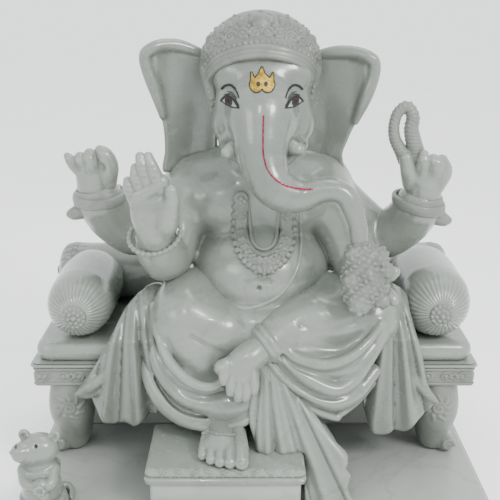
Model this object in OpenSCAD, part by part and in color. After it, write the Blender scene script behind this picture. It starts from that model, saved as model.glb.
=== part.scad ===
// Seated four-armed elephant-headed figure in white marble, on a cushioned bench.
// Units are millimetres. The origin is the centre of the plinth's underside.
// +Z is up and the figure faces -Y. "right" and "left" are the figure's own sides:
// its right side is -X and its left side is +X.

/* [Plinth] */
// Width of the plinth
plinth_w = 569; // [560:1:600]
// Depth of the plinth, front to back
plinth_d = 400; // [390:1:440]
// Height of the plinth
plinth_h = 38; // [30:1:38]

/* [Bench] */
// Height of the floor of the carved band above the table
band_z = 147; // [145:1:148]
// Height of the carved band
band_h = 24; // [22:1:25]
// Height of the moulded top slab
top_h = 6; // [5:0.5:7]
// Width of the bench
bench_w = 560; // [548:1:560]
// Distance from the centre to the front face of the bench
bench_front = 52; // [48:1:54]
// Distance from the centre to the back of the bench
bench_back = 190; // [180:1:195]
// Width of each bench leg
leg_w = 56; // [48:1:60]

/* [Cushions] */
// Thickness of the seat mattress
mattress_h = 23; // [21:1:25]
// Radius of the two side bolsters
bolster_r = 42; // [39:1:43]
// Distance from the centre to each bolster's axis
bolster_x = 226; // [222:1:228]
// Radius of the long roll behind the figure
roll_r = 39; // [36:1:41]

/* [Footstool] */
// Height of the footstool's top slab
stool_slab_h = 20; // [16:1:22]
// Height of the footstool's block
stool_block_h = 40; // [36:1:40]

/* [Joints] */
// Radius of the steel dowels that hold the hands
dowel_r = 4; // [3:0.5:4]
// Length of the steel dowels
dowel_len = 44; // [40:1:46]

/* [Hidden] */
soft_fn = 12;
round_fn = 16;
small_fn = 8;
big_fn = 20;
true_fn = 72;
marble = [0.93, 0.93, 0.90];
shade = [0.86, 0.87, 0.84];
bond = 0.15;

// Heights that follow from the driving sizes
top_z = band_z + band_h;
seat_z = top_z + top_h + mattress_h;
stool_top = plinth_h + stool_block_h + stool_slab_h;
bench_d = bench_back + bench_front;

// The footstool's outline seen from above
stool_x = [-127, 60];
stool_y = [-169, -54];

// Points of the figure: centres of its big round forms
belly = [8, 24, 284];
chest = [6, 40, 362];
hips = [4, 40, 238];
skull = [8, 18, 500];
crown_mid = [7, 20, 540];

// Arms: shoulder, elbow, wrist, each with its radius
rear_arm_r = [[-76, 50, 378], [-156, 42, 324], [-191, 6, 372]];
rear_arm_l = [[86, 50, 378], [168, 42, 320], [204, 6, 364]];
front_arm_r = [[-84, 22, 374], [-106, -16, 308], [-115, -62, 338]];
front_arm_l = [[92, 18, 374], [128, 2, 292], [134, -48, 298]];
rear_arm_rad = [34, 28, 22.6];
front_arm_rad = [34, 29, 21];
cuff_h = 26;
cuff_r = 33;
cuff_seat_r = 23;

// Trunk: centreline points and the radius at each
trunk_path = [[8, -30, 478], [8, -52, 456], [9, -60, 436], [17, -70, 413], [32, -77, 401],
              [52, -81, 398], [75, -86, 405], [96, -90, 404], [111, -93, 386], [118, -95, 350]];
trunk_rad = [36, 33, 28, 25, 22, 18, 14, 13, 12, 10];

// Legs: hip, knee, shin, ankle
leg_path_r = [[-46, 20, 244], [-78, -52, 238], [-62, -72, 186], [-42, -96, 122]];
leg_rad_r = [48, 46, 34, 22];
leg_path_l = [[52, 30, 244], [144, -30, 236], [70, -72, 222], [2, -90, 206]];
leg_rad_l = [44, 36, 34, 22];

// Heap of sweets held in the left front hand: top and bottom of its round form
sweet_top = [125, -100, 322];
sweet_low = [128, -100, 290];

// Noose: centre and half sizes of its eye, and the rope's radius
noose_mid = [186, -4, 467];
noose_half = [11, 22];
noose_rope_r = 6;

// ---------- shared shapes ----------

function along(a, b, t) = a + (b - a) * t;

// Front surface of the skull at a given x and z
skull_rad = [60, 52, 76];
function skull_y(x, z) =
    skull[1] - skull_rad[1] * sqrt(max(0, 1 - pow((x - skull[0]) / skull_rad[0], 2)
    - pow((z - skull[2]) / skull_rad[2], 2)));

belly_rad = [86, 82, 66];

// Smooth egg with three half sizes
module egg(p, half, fn = round_fn) {
    translate(p) hull() scale(half) sphere(1, $fn = fn);
}

// Round limb through a list of points, with a radius at each
module limb(points, radii, fn = soft_fn) {
    for (i = [0 : len(points) - 2]) {
        hull() {
            translate(points[i]) sphere(radii[i], $fn = fn);
            translate(points[i + 1]) sphere(radii[i + 1], $fn = fn);
        }
    }
}

// Arm of two tapering lengths that meet at the elbow
module arm_form(points, radii) {
    limb(points, radii, round_fn);
}

// ---------- plinth, bench and cushions ----------

module plinth() {
    color(marble)
    difference() {
        translate([-plinth_w / 2, -plinth_d / 2, 0]) cube([plinth_w, plinth_d, plinth_h]);
        // shallow step worked round the upper edge of the front and sides
        translate([-plinth_w / 2 - 1, -plinth_d / 2 - 1, plinth_h - 6]) cube([plinth_w + 2, 5, 7]);
    }
}

module bench_core() {
    color(shade)
    translate([-bench_w / 2 + 20, 50, plinth_h])
        cube([bench_w - 40, bench_back - 50, band_z - plinth_h]);
}

// Leg drawn from the front for the left side: a block under the band, a bulging knee
// and a narrow foot with a scroll on its outer side
module bench_leg_form() {
    depth = 74;
    leg_h = band_z - plinth_h;
    knee_z = leg_h * 0.6;
    foot_r = 17;
    translate([0, depth - bench_front + 2, plinth_h]) rotate([90, 0, 0]) linear_extrude(depth) {
        union() {
            polygon([[-leg_w * 0.65, leg_h], [-leg_w * 0.6, knee_z], [-leg_w * 0.25, foot_r],
                     [leg_w * 0.2, foot_r], [leg_w * 0.35, knee_z], [leg_w * 0.3, leg_h]]);
            translate([leg_w * 0.2, knee_z]) circle(leg_w * 0.25, $fn = true_fn);
            translate([0, foot_r]) circle(foot_r, $fn = true_fn);
            translate([leg_w * 0.3, 10]) circle(10, $fn = true_fn);
        }
    }
}

module right_bench_leg() {
    color(shade)
    translate([-(bench_w / 2 - 40), 0, 0]) mirror([1, 0, 0]) bench_leg_form();
}

module left_bench_leg() {
    color(shade)
    translate([bench_w / 2 - 40, 0, 0]) bench_leg_form();
}

module bench_band() {
    bosses = 4;
    pitch = 22;
    color(shade)
    union() {
        translate([-bench_w / 2 + 4, -bench_front + 4, band_z])
            cube([bench_w - 8, bench_d - 4, band_h]);
        // raised scroll bosses along the front of the band
        for (side = [-1, 1], i = [0 : bosses - 1]) {
            translate([side * (bench_w / 2 - 24 - i * pitch), -bench_front + 5, band_z + band_h / 2])
                rotate([90, 0, 0]) cylinder(5, 9, 7, $fn = true_fn);
        }
    }
}

module bench_top() {
    color(marble)
    union() {
        translate([-bench_w / 2, -bench_front, top_z]) cube([bench_w, bench_d, top_h]);
        // half-round bead along the front edge
        translate([-bench_w / 2, -bench_front, top_z + top_h / 2])
            rotate([0, 90, 0]) cylinder(bench_w, top_h / 2 - 2, top_h / 2 - 2, $fn = true_fn);
    }
}

module seat_mattress() {
    r = mattress_h / 2;
    z = top_z + top_h + r;
    w = bench_w - 12;
    color(marble)
    union() {
        translate([-w / 2, -bench_front + 6 + r, z - r]) cube([w, bench_d - 8 - r, mattress_h]);
        translate([-w / 2, -bench_front + 6 + r, z]) rotate([0, 90, 0])
            cylinder(w, r, r, $fn = true_fn);
    }
}

// The roll lies just in front of the bench's back edge
roll_y = bench_back - 16 - roll_r;
roll_end_r = 12;
roll_half = bench_w / 2 - roll_end_r;
bolster_front = 48;

module back_roll_form() {
    translate([-roll_half, roll_y, seat_z + roll_r]) rotate([0, 90, 0])
        cylinder(2 * roll_half, roll_r, roll_r, $fn = true_fn);
    for (side = [-1, 1]) {
        translate([side * roll_half, roll_y, seat_z + roll_r]) sphere(roll_end_r, $fn = true_fn);
    }
}

module back_roll() {
    color(marble) back_roll_form();
}

// Bolster lying front to back, with a rounded front end
module bolster_form() {
    edge = 16;
    length = roll_y - roll_r + bolster_front - 1;
    translate([0, -bolster_front, seat_z + bolster_r]) rotate([-90, 0, 0]) rotate_extrude($fn = true_fn) {
        square([bolster_r - edge, edge + 1]);
        translate([0, edge]) square([bolster_r, length - edge]);
        intersection() {
            translate([bolster_r - edge, edge]) circle(edge, $fn = true_fn);
            translate([bolster_r - edge - 1, 0]) square([edge + 1, edge + 1]);
        }
    }
}

module right_bolster() {
    color(marble) translate([-bolster_x, 0, 0]) bolster_form();
}

module left_bolster() {
    color(marble) translate([bolster_x, 0, 0]) bolster_form();
}

// Domed rosette on the bolster's end
module button_form() {
    petals = 8;
    button_r = 14;
    translate([0, -bolster_front, seat_z + bolster_r]) rotate([90, 0, 0]) {
        cylinder(4, button_r, button_r - 2, $fn = true_fn);
        translate([0, 0, 3]) cylinder(4, 6, 4, $fn = true_fn);
        for (i = [0 : petals - 1]) {
            rotate(i * 360 / petals) translate([button_r - 3, 0, 1])
                cylinder(4, 4.5, 3, $fn = true_fn);
        }
    }
}

module right_bolster_button() {
    color(shade) translate([-bolster_x, 0, 0]) button_form();
}

module left_bolster_button() {
    color(shade) translate([bolster_x, 0, 0]) button_form();
}

module footstool_block() {
    inset = 6;
    color(shade)
    translate([stool_x[0] + inset, stool_y[0] + inset, plinth_h])
        cube([stool_x[1] - stool_x[0] - 2 * inset, stool_y[1] - stool_y[0] - inset, stool_block_h]);
}

module footstool_top() {
    z = plinth_h + stool_block_h;
    color(marble)
    union() {
        translate([stool_x[0], stool_y[0] + 3, z])
            cube([stool_x[1] - stool_x[0], stool_y[1] - stool_y[0] - 3, stool_slab_h]);
        translate([stool_x[0], stool_y[0] + 4, z + stool_slab_h - 6]) rotate([0, 90, 0])
            cylinder(stool_x[1] - stool_x[0], 4, 4, $fn = true_fn);
    }
}

// ---------- mouse ----------

module mouse() {
    p = [-250, -158, plinth_h];
    color(marble)
    intersection() {
        union() {
            egg(p + [0, 8, 30], [25, 30, 36], soft_fn);
            egg(p + [-1, -2, 60], [18, 20, 22], soft_fn);
            egg(p + [-2, -6, 82], [17, 19, 16], soft_fn);
            limb([p + [-4, -14, 80], p + [-18, -26, 74]], [12, 6], small_fn);
            for (x = [-13, 15]) {
                egg(p + [x, 0, 96], [8, 5, 9], small_fn);
                limb([p + [x, -8, 52], p + [x * 0.5, -26, 44]], [9, 7], small_fn);
                limb([p + [x * 1.1, -4, 11], p + [x, -28, 6]], [12, 6], small_fn);
            }
            egg(p + [0, -28, 44], [9, 9, 9], small_fn);
            limb([p + [8, 30, 8], p + [22, 42, 7], p + [20, 58, 6]], [7, 6, 4], small_fn);
        }
        translate([-plinth_w / 2 + 1, -plinth_d / 2 + 2, plinth_h]) cube([90, 200, 120]);
    }
}

// ---------- body ----------

module torso_form() {
    egg(belly, belly_rad, big_fn);
    egg(chest, [84, 56, 58], round_fn);
    egg(hips, [104, 74, 46], round_fn);
    egg([-40, 6, 372], [44, 30, 34], soft_fn);
    egg([50, 6, 372], [44, 30, 34], soft_fn);
    limb([[-74, 48, 388], [84, 48, 388]], [36, 36], soft_fn);
    limb([[6, 40, 400], [8, 30, 452]], [46, 44], soft_fn);
    egg([5, 60, 330], [80, 46, 92], soft_fn);
}

// Slightly larger, coarser arm that is cut out of the forms round it
module arm_space(points, radii) {
    spare = 0.4;
    limb(points, radii + [spare, spare, spare], round_fn);
}

module arms_space() {
    arm_space(rear_arm_r, rear_arm_rad);
    arm_space(rear_arm_l, rear_arm_rad);
    arm_space(front_arm_r, front_arm_rad);
    arm_space(front_arm_l, front_arm_rad);
}

module torso() {
    color(marble)
    difference() {
        torso_form();
        translate([-300, -300, 0]) cube([600, 600, seat_z + bond]);
        back_roll_form();
        arms_space();
        head_form();
        trunk_form();
    }
}

module right_leg_form() {
    limb(leg_path_r, leg_rad_r, round_fn);
    egg([-76, -44, 240], [47, 56, 46], round_fn);
    // cloth stretched between the knees
    egg([-26, -44, 222], [60, 44, 34], round_fn);
}

module left_leg_form() {
    limb(leg_path_l, leg_rad_l, round_fn);
    egg([120, -20, 240], [56, 46, 40], round_fn);
}

module stool_slab_space() {
    translate([stool_x[0] - 1, stool_y[0] - 1, plinth_h]) cube([
        stool_x[1] - stool_x[0] + 2, stool_y[1] - stool_y[0] + 2, stool_top - plinth_h + bond]);
}

// Space taken by the bench and its mattress
module bench_space() {
    translate([-300, -bench_front - bond - 5, 0]) cube([600, 300, seat_z + bond]);
}

module right_leg() {
    color(marble)
    difference() {
        union() {
            right_leg_form();
            // folds of cloth round the shin
            for (i = [0 : 3]) {
                limb([[-110 + i * 6, -62 - i * 8, 214 - i * 18], [-58, -106, 176 - i * 14],
                      [-24, -86, 190 - i * 14]], [10, 11, 9], small_fn);
            }
        }
        torso_form();
        bench_space();
        arm_space(front_arm_r, front_arm_rad);
        foot_form_left();
        translate([-200, -250, 0]) cube([400, 250, 128]);
    }
}

// Foot with five toes, pointing along -Y from its ankle
module foot_form(heel, toe, width, up) {
    mid = along(heel, toe, 0.55);
    limb([heel, mid], [width * 0.5, width * 0.42], soft_fn);
    for (i = [-2 : 2]) {
        side = [i * width * 0.2, abs(i) * 2.5, 0];
        limb([mid + side * 0.8, toe + side], [width * 0.2, width * 0.13], small_fn);
    }
}

module foot_form_left() {
    foot_form([-30, -98, 196], [-20, -108, 158], 40);
    limb([[4, -92, 206], [-30, -98, 196]], [20, 19], soft_fn);
}

module right_foot() {
    color(marble)
    intersection() {
        union() {
            foot_form([-42, -106, 112], [-40, -158, 104], 44);
            limb([[-42, -104, 128], [-42, -106, 112]], [22, 22], soft_fn);
        }
        translate([-200, -250, stool_top + bond]) cube([400, 250, 128 - stool_top - 2 * bond]);
    }
}

module left_leg() {
    color(marble)
    difference() {
        union() {
            left_leg_form();
            // swags of cloth hanging under the folded shin
            for (i = [0 : 3]) {
                limb([[34 - i * 4, -92, 208 - i * 12], [76, -104 + i * 2, 178 - i * 16],
                      [128, -74, 190 - i * 12]], [10, 12, 10], small_fn);
            }
        }
        torso_form();
        right_leg_form();
        bench_space();
        arm_space(front_arm_l, front_arm_rad);
        foot_form_left();
    }
}

module left_foot() {
    color(marble)
    difference() {
        foot_form_left();
        right_leg_form();
    }
}

// ---------- loose drapery ----------

// Row of pleats from one edge to another: top left, top right, bottom left, bottom right
module pleats(tops, bottoms, count, r_top, r_low) {
    for (i = [0 : count - 1]) {
        t = i / (count - 1);
        a = along(tops[0], tops[1], t);
        b = along(bottoms[0], bottoms[1], t);
        wave = [0, (i % 2) * 4, (i % 2) * 6];
        limb([a, along(a, b, 0.5) + wave, b + wave], [r_top, (r_top + r_low) / 2, r_low], small_fn);
    }
}

module right_side_drape() {
    color(marble)
    difference() {
        union() {
            pleats([[-150, -52, 236], [-104, -58, 240]], [[-208, -66, 112], [-126, -68, 108]], 6, 12, 11);
            limb([[-146, -10, 262], [-138, -50, 240]], [26, 20], soft_fn);
            limb([[-150, 30, 250], [-146, -10, 262]], [30, 26], soft_fn);
        }
        bench_space();
        right_leg_form();
        torso_form();
        arm_space(front_arm_r, front_arm_rad);
        arm_space(rear_arm_r, rear_arm_rad);
        translate([-bolster_x, 0, 0]) bolster_form();
    }
}

module left_side_drape() {
    color(marble)
    difference() {
        union() {
            pleats([[146, -54, 214], [178, -46, 222]], [[150, -68, 106], [212, -66, 108]], 6, 12, 11);
            limb([[170, -10, 236], [168, -44, 222]], [26, 18], soft_fn);
        }
        bench_space();
        left_leg_form();
        torso_form();
        arm_space(front_arm_l, front_arm_rad);
        translate([bolster_x, 0, 0]) bolster_form();
    }
}

module centre_drape() {
    color(marble)
    difference() {
        union() {
            pleats([[0, -84, 188], [52, -84, 176]], [[56, -92, 92], [112, -86, 86]], 5, 12, 14);
            pleats([[62, -98, 96], [112, -92, 90]], [[72, -136, 46], [108, -120, 46]], 4, 13, 9);
        }
        stool_slab_space();
        right_leg_form();
        left_leg_form();
        foot_form_left();
        torso_form();
        translate([-300, -bench_front - 5, band_z]) cube([600, 300, 60]);
        translate([-300, -300, 0]) cube([600, 600, plinth_h + bond]);
    }
}

// ---------- head ----------

module head_form() {
    egg(skull, skull_rad, big_fn);
    egg([-24, -8, 468], [34, 32, 34], soft_fn);
    egg([40, -8, 468], [34, 32, 34], soft_fn);
}

module head() {
    color(marble) head_form();
}

module trunk_form() {
    limb(trunk_path, trunk_rad, soft_fn);
}

module trunk() {
    color(marble)
    difference() {
        trunk_form();
        head_form();
        sweet_form();
    }
}

// Fan-shaped ear plate through its corner points
module ear_plate(points, r) {
    middle = (points[0] + points[1] + points[2] + points[3] + points[4]) / 5 + [0, 6, 0];
    for (i = [0 : 4]) {
        hull() {
            translate(points[i]) sphere(r, $fn = small_fn);
            translate(points[(i + 1) % 5]) sphere(r, $fn = small_fn);
            translate(middle) sphere(r - 2, $fn = small_fn);
        }
    }
}

module right_ear_form() {
    ear_plate([[-130, 14, 548], [-108, 22, 557], [-44, 40, 545], [-44, 34, 440], [-108, 20, 412]], 6.5);
}

module left_ear_form() {
    ear_plate([[142, 14, 541], [118, 22, 550], [60, 40, 545], [60, 34, 440], [108, 20, 420]], 6.5);
}

module ear_cut() {
    head_form();
    crown_form();
    torso_form();
    arms_space();
}

module right_ear() {
    color(marble)
    difference() {
        right_ear_form();
        ear_cut();
    }
}

module left_ear() {
    color(marble)
    difference() {
        left_ear_form();
        ear_cut();
    }
}

module tusk(p, lean) {
    difference() {
        limb([p, p + [lean, -14, -5], p + [lean * 1.2, -18, -6]], [10, 8, 6], soft_fn);
        head_form();
        trunk_form();
    }
}

module right_tusk() {
    color(marble) tusk([-24, -24, 456], -5);
}

module left_tusk() {
    color(marble) tusk([40, -24, 456], 7);
}

module crown_form() {
    difference() {
        union() {
            egg(crown_mid, [73, 62, 60], big_fn);
            // raised rim over the brow
            for (i = [-5 : 4]) {
                hull() {
                    for (k = [i, i + 1]) {
                        translate([crown_mid[0] + 70 * sin(k * 17), 14 - 54 * cos(k * 17),
                                   548 - 26 * pow(k / 5, 2)]) sphere(5.5, $fn = small_fn);
                    }
                }
            }
        }
        // brow line: high in front and low at the sides
        translate([0, 20, 506]) rotate([-34, 0, 0]) translate([-100, -200, -100]) cube([200, 230, 100]);
        translate([-100, 20, 400]) cube([200, 100, 100]);
    }
}

module crown() {
    color(marble)
    difference() {
        crown_form();
        head_form();
    }
}

// ---------- painted and applied details ----------

module tilak() {
    x = 8.5;
    color("gold")
    difference() {
        union() {
            for (side = [-1, 1]) {
                hull() {
                    translate([x + side * 6, skull_y(x, 522) - 0.5, 522]) sphere(5.5, $fn = soft_fn);
                    translate([x + side * 12, skull_y(x, 531) + 0.5, 531]) sphere(2, $fn = small_fn);
                }
            }
            hull() {
                translate([x, skull_y(x, 525) - 0.5, 525]) sphere(4, $fn = soft_fn);
                translate([x, skull_y(x, 541) + 0.5, 541]) sphere(1.6, $fn = small_fn);
            }
        }
        head_form();
    }
}

module painted_eyes() {
    color([0.12, 0.08, 0.07])
    for (x = [-27, 44]) {
        difference() {
            translate([x, skull_y(x, 498) + 1.4, 498]) hull() scale([10, 4, 5]) sphere(1, $fn = soft_fn);
            head_form();
        }
    }
}

// Direction that leaves the trunk square to its run, towards the front
function off_trunk(k, up) =
    let (run = trunk_path[k + 1] - trunk_path[k], way = run / norm(run), out = [0, -1, up])
    (out - way * (out * way)) / norm(out - way * (out * way));

function line_place(t) =
    let (k = floor(t), rise = max(0, t - 1.2) / 2)
    along(trunk_path[k], trunk_path[k + 1], t - k)
    + off_trunk(k, rise) * (along(trunk_rad[k], trunk_rad[k + 1], t - k) + 0.4);

module trunk_line() {
    stones = 16;
    reach = 4.4;
    color([0.65, 0.08, 0.16])
    difference() {
        for (i = [0 : stones - 1]) {
            hull() {
                translate(line_place(i / stones * reach)) sphere(1.9, $fn = small_fn);
                translate(line_place((i + 1) / stones * reach)) sphere(1.9, $fn = small_fn);
            }
        }
        trunk_form();
        head_form();
    }
}

// Places along the collar's U, from one shoulder down and up to the other
collar_steps = 14;
function collar_place(k) =
    let (a = -100 + k * 200 / collar_steps)
    [8 + 31 * sin(a), -32 - 12 * cos(a), 366 - 52 * cos(a)];

// U-shaped collar hanging on the chest, bent to lie on the body
module necklace() {
    color(shade)
    difference() {
        for (k = [0 : collar_steps - 1]) {
            hull() {
                translate(collar_place(k)) sphere(9.5, $fn = small_fn);
                translate(collar_place(k + 1)) sphere(9.5, $fn = small_fn);
            }
        }
        torso_form();
        trunk_form();
    }
}

// Cord from the left shoulder across the belly
module sacred_thread() {
    line = [[58, -22, 376], [52, -46, 330], [44, -54, 306], [8, -60, 288], [-44, -46, 272], [-70, -22, 268]];
    color(shade)
    difference() {
        limb(line, [5, 5, 5, 5, 5, 5], small_fn);
        torso_form();
        trunk_form();
        right_leg_form();
        necklace_space();
    }
}

module necklace_space() {
    for (k = [0 : collar_steps]) {
        translate(collar_place(k)) sphere(9.7, $fn = small_fn);
    }
}

// ---------- arms, cuffs and hands ----------

// Dowel positions: right rear, left rear and right front stand upright
dowel_low = [rear_arm_r[2] + [0, 0, -20], rear_arm_l[2] + [0, 0, -20], front_arm_r[2] + [0, 0, -22]];
dowel_side = front_arm_l[2] + [0, 18, 0];

module dowel_hole(p, spare = bond) {
    translate(p - [0, 0, spare]) cylinder(dowel_len + 2 * spare, dowel_r, dowel_r, $fn = true_fn);
}

module side_dowel_hole(spare = bond) {
    translate(dowel_side + [0, spare, 0]) rotate([90, 0, 0])
        cylinder(dowel_len + 2 * spare, dowel_r, dowel_r, $fn = true_fn);
}

module hand_dowels() {
    color("silver") {
        for (p = dowel_low) {
            translate(p) cylinder(dowel_len, dowel_r - 0.05, dowel_r - 0.05, $fn = true_fn);
        }
        translate(dowel_side) rotate([90, 0, 0])
            cylinder(dowel_len, dowel_r - 0.05, dowel_r - 0.05, $fn = true_fn);
    }
}

// Arm cut off square just above its wrist
module cut_arm(points, radii, hole_at) {
    difference() {
        arm_form(points, radii);
        translate([points[2][0] - 40, points[2][1] - 40, points[2][2] + 4]) cube([80, 80, 60]);
        dowel_hole(hole_at);
    }
}

module right_rear_arm() {
    color(marble)
    difference() {
        cut_arm(rear_arm_r, rear_arm_rad, dowel_low[0]);
        back_roll_form();
    }
}

module left_rear_arm() {
    color(marble)
    difference() {
        cut_arm(rear_arm_l, rear_arm_rad, dowel_low[1]);
        back_roll_form();
    }
}

module right_front_arm() {
    color(marble) cut_arm(front_arm_r, front_arm_rad, dowel_low[2]);
}

module left_front_arm() {
    p = front_arm_l[2];
    color(marble)
    difference() {
        arm_form(front_arm_l, front_arm_rad);
        translate([p[0] - 40, p[1] - 64, p[2] - 40]) cube([80, 60, 80]);
        side_dowel_hole();
    }
}

// Flared ring round the wrist
module cuff_form(p) {
    translate(p + [0, 0, -10]) rotate_extrude($fn = true_fn) {
        difference() {
            polygon([[0, 0], [cuff_r - 5, 0], [cuff_r, cuff_h - 6], [cuff_r - 1, cuff_h], [0, cuff_h]]);
            square([cuff_seat_r + bond, cuff_h]);
        }
    }
}

module right_rear_cuff() {
    color(shade) cuff_form(rear_arm_r[2]);
}

module left_rear_cuff() {
    color(shade) cuff_form(rear_arm_l[2]);
}

// Hand with a round wrist, a palm and curled fingers
module raised_hand(p, side) {
    z0 = 4 + bond;
    difference() {
        union() {
            translate(p + [0, 0, z0]) cylinder(20, cuff_seat_r - 0.2, 21, $fn = true_fn);
            hull() {
                translate(p + [0, 0, z0 + 20]) sphere(19, $fn = soft_fn);
                translate(p + [side * 4, -2, z0 + 40]) sphere(20, $fn = soft_fn);
            }
            // two bent fingers, a raised finger and the thumb
            limb([p + [side * 20, -10, z0 + 36], p + [side * 26, -14, z0 + 56]], [8, 6], small_fn);
            limb([p + [side * 10, -16, z0 + 40], p + [side * 8, -20, z0 + 60]], [8, 6], small_fn);
            limb([p + [-side * 4, -8, z0 + 48], p + [-side * 2, -10, z0 + 66]], [9, 6], small_fn);
            limb([p + [-side * 14, -10, z0 + 34], p + [-side * 16, -20, z0 + 46]], [9, 6], small_fn);
        }
        translate(p + [-40, -40, z0 - 40]) cube([80, 80, 40]);
        dowel_hole(p + [0, 0, -20]);
    }
}

module right_rear_hand() {
    color(marble) raised_hand(rear_arm_r[2], -1);
}

module left_rear_hand() {
    color(marble)
    difference() {
        raised_hand(rear_arm_l[2], 1);
        translate([noose_mid[0], noose_mid[1], 422]) cube([14, 14, 30], center = true);
    }
}

module noose() {
    steps = 16;
    color(marble)
    union() {
        for (i = [0 : steps - 1]) {
            hull() {
                for (k = [i, i + 1]) {
                    a = k * 360 / steps;
                    translate(noose_mid + [noose_half[0] * sin(a), 0, noose_half[1] * cos(a)])
                        sphere(noose_rope_r, $fn = small_fn);
                }
            }
        }
        // square tenon that drops into the hand
        translate([noose_mid[0], noose_mid[1], 430.5]) cube([13.6, 13.6, 30], center = true);
    }
}

// Open hand held up in blessing, palm to the front
module right_front_hand() {
    p = front_arm_r[2];
    z0 = 4 + bond;
    tips = [[-26, 80], [-11, 98], [5, 104], [20, 96]];
    color(marble)
    difference() {
        union() {
            translate(p + [0, 0, z0]) cylinder(24, 21, 20, $fn = true_fn);
            hull() {
                for (x = [-19, 19]) {
                    translate(p + [x * 0.6, -2, z0 + 20]) sphere(10, $fn = soft_fn);
                    translate(p + [x, -8, z0 + 60]) sphere(9.5, $fn = soft_fn);
                }
            }
            for (t = tips) {
                limb([p + [t[0] * 0.9, -10, z0 + 60], p + [t[0], -14, z0 + t[1]]], [8, 6.5], small_fn);
            }
            limb([p + [20, -10, z0 + 30], p + [32, -18, z0 + 64]], [10, 7], small_fn);
        }
        translate(p + [-40, -40, z0 - 40]) cube([80, 80, 40]);
        dowel_hole(dowel_low[2]);
    }
}

module bracelet_form(p, r, tube) {
    translate(p) rotate_extrude($fn = true_fn) translate([r, 0]) circle(tube, $fn = true_fn);
}

module right_bracelet() {
    color(shade) bracelet_form(front_arm_r[2] + [0, 0, 10], 25.2, 4);
}

module left_bracelet() {
    p = front_arm_l[2];
    color(shade) translate(p + [0, -12, 0]) rotate([90, 0, 0]) rotate_extrude($fn = true_fn)
        translate([25.2, 0]) circle(4, $fn = true_fn);
}

module sweet_form() {
    limb([sweet_top, sweet_low], [27, 23], round_fn);
}

module sweet() {
    color(marble) sweet_form();
}

// Cupped hand under the sweet
module left_front_hand() {
    p = front_arm_l[2];
    color(marble)
    difference() {
        union() {
            translate(p + [0, -4 - bond, 0]) rotate([90, 0, 0]) cylinder(26, 21, 20, $fn = true_fn);
            hull() {
                translate(p + [0, -28, -4]) sphere(18, $fn = soft_fn);
                translate(p + [0, -46, -10]) sphere(20, $fn = soft_fn);
            }
            // finger ends that show beside the sweets
            limb([p + [13, -30, 2], p + [26, -44, 10], p + [28, -58, 12]], [12, 9, 7], small_fn);
            limb([p + [13, -30, -12], p + [25, -46, -16], p + [27, -58, -18]], [12, 9, 7], small_fn);
        }
        translate(p + [-40, -4 - bond, -40]) cube([80, 60, 80]);
        side_dowel_hole();
        sweet_form();
    }
}

module anklet() {
    color(shade)
    difference() {
        translate([-42, -104, 132]) cylinder(8, 27, 27, $fn = true_fn);
        translate([-42, -104, 131]) cylinder(10, 22.5, 22.5, $fn = true_fn);
    }
}

plinth();
bench_core();
right_bench_leg();
left_bench_leg();
bench_band();
bench_top();
seat_mattress();
back_roll();
right_bolster();
left_bolster();
right_bolster_button();
left_bolster_button();
footstool_block();
footstool_top();
mouse();
torso();
right_leg();
right_foot();
left_leg();
left_foot();
right_side_drape();
left_side_drape();
centre_drape();
head();
trunk();
right_ear();
left_ear();
right_tusk();
left_tusk();
crown();
tilak();
painted_eyes();
trunk_line();
necklace();
sacred_thread();
right_rear_arm();
right_rear_cuff();
right_rear_hand();
left_rear_arm();
left_rear_cuff();
left_rear_hand();
noose();
right_front_arm();
right_front_hand();
right_bracelet();
left_front_arm();
left_front_hand();
left_bracelet();
sweet();
anklet();
hand_dowels();
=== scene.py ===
"""Seated four-armed elephant-headed figure in polished white marble, on a cushioned bench.

Every shape is in the part's own frame: +Z up, the figure faces -Y, and its right side is -X.
The figure is carved in millimetres as distance fields, which are then meshed in metres.
"""

import math

import bmesh
import bpy
import numpy as np
import openvdb
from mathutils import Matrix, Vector


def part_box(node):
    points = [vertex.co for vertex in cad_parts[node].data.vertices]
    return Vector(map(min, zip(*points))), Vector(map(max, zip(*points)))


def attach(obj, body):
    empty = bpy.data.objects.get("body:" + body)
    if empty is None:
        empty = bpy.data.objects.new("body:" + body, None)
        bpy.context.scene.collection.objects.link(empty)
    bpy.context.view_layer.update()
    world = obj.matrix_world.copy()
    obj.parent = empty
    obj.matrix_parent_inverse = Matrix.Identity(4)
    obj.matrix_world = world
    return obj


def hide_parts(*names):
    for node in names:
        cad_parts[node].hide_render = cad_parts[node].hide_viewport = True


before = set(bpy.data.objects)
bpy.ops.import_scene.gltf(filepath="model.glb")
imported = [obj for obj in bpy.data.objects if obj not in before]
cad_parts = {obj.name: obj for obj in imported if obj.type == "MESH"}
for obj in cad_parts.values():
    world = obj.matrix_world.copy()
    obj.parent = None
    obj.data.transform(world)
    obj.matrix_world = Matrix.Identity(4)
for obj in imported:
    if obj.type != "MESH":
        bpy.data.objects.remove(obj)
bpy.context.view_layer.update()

MM = 0.001
FAR = 30.0
COARSE = 1.0
RIGHT, LEFT = -1, 1


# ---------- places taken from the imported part, in millimetres ----------

def low(node):
    """Lowest corner of a CAD node's box."""
    return np.array(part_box(node)[0]) / MM


def high(node):
    """Highest corner of a CAD node's box."""
    return np.array(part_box(node)[1]) / MM


def middle(node):
    return (low(node) + high(node)) / 2


PLINTH_TOP = high("plinth")[2]
STOOL_TOP = high("footstool_top")[2]


# ---------- carving kit ----------

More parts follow.
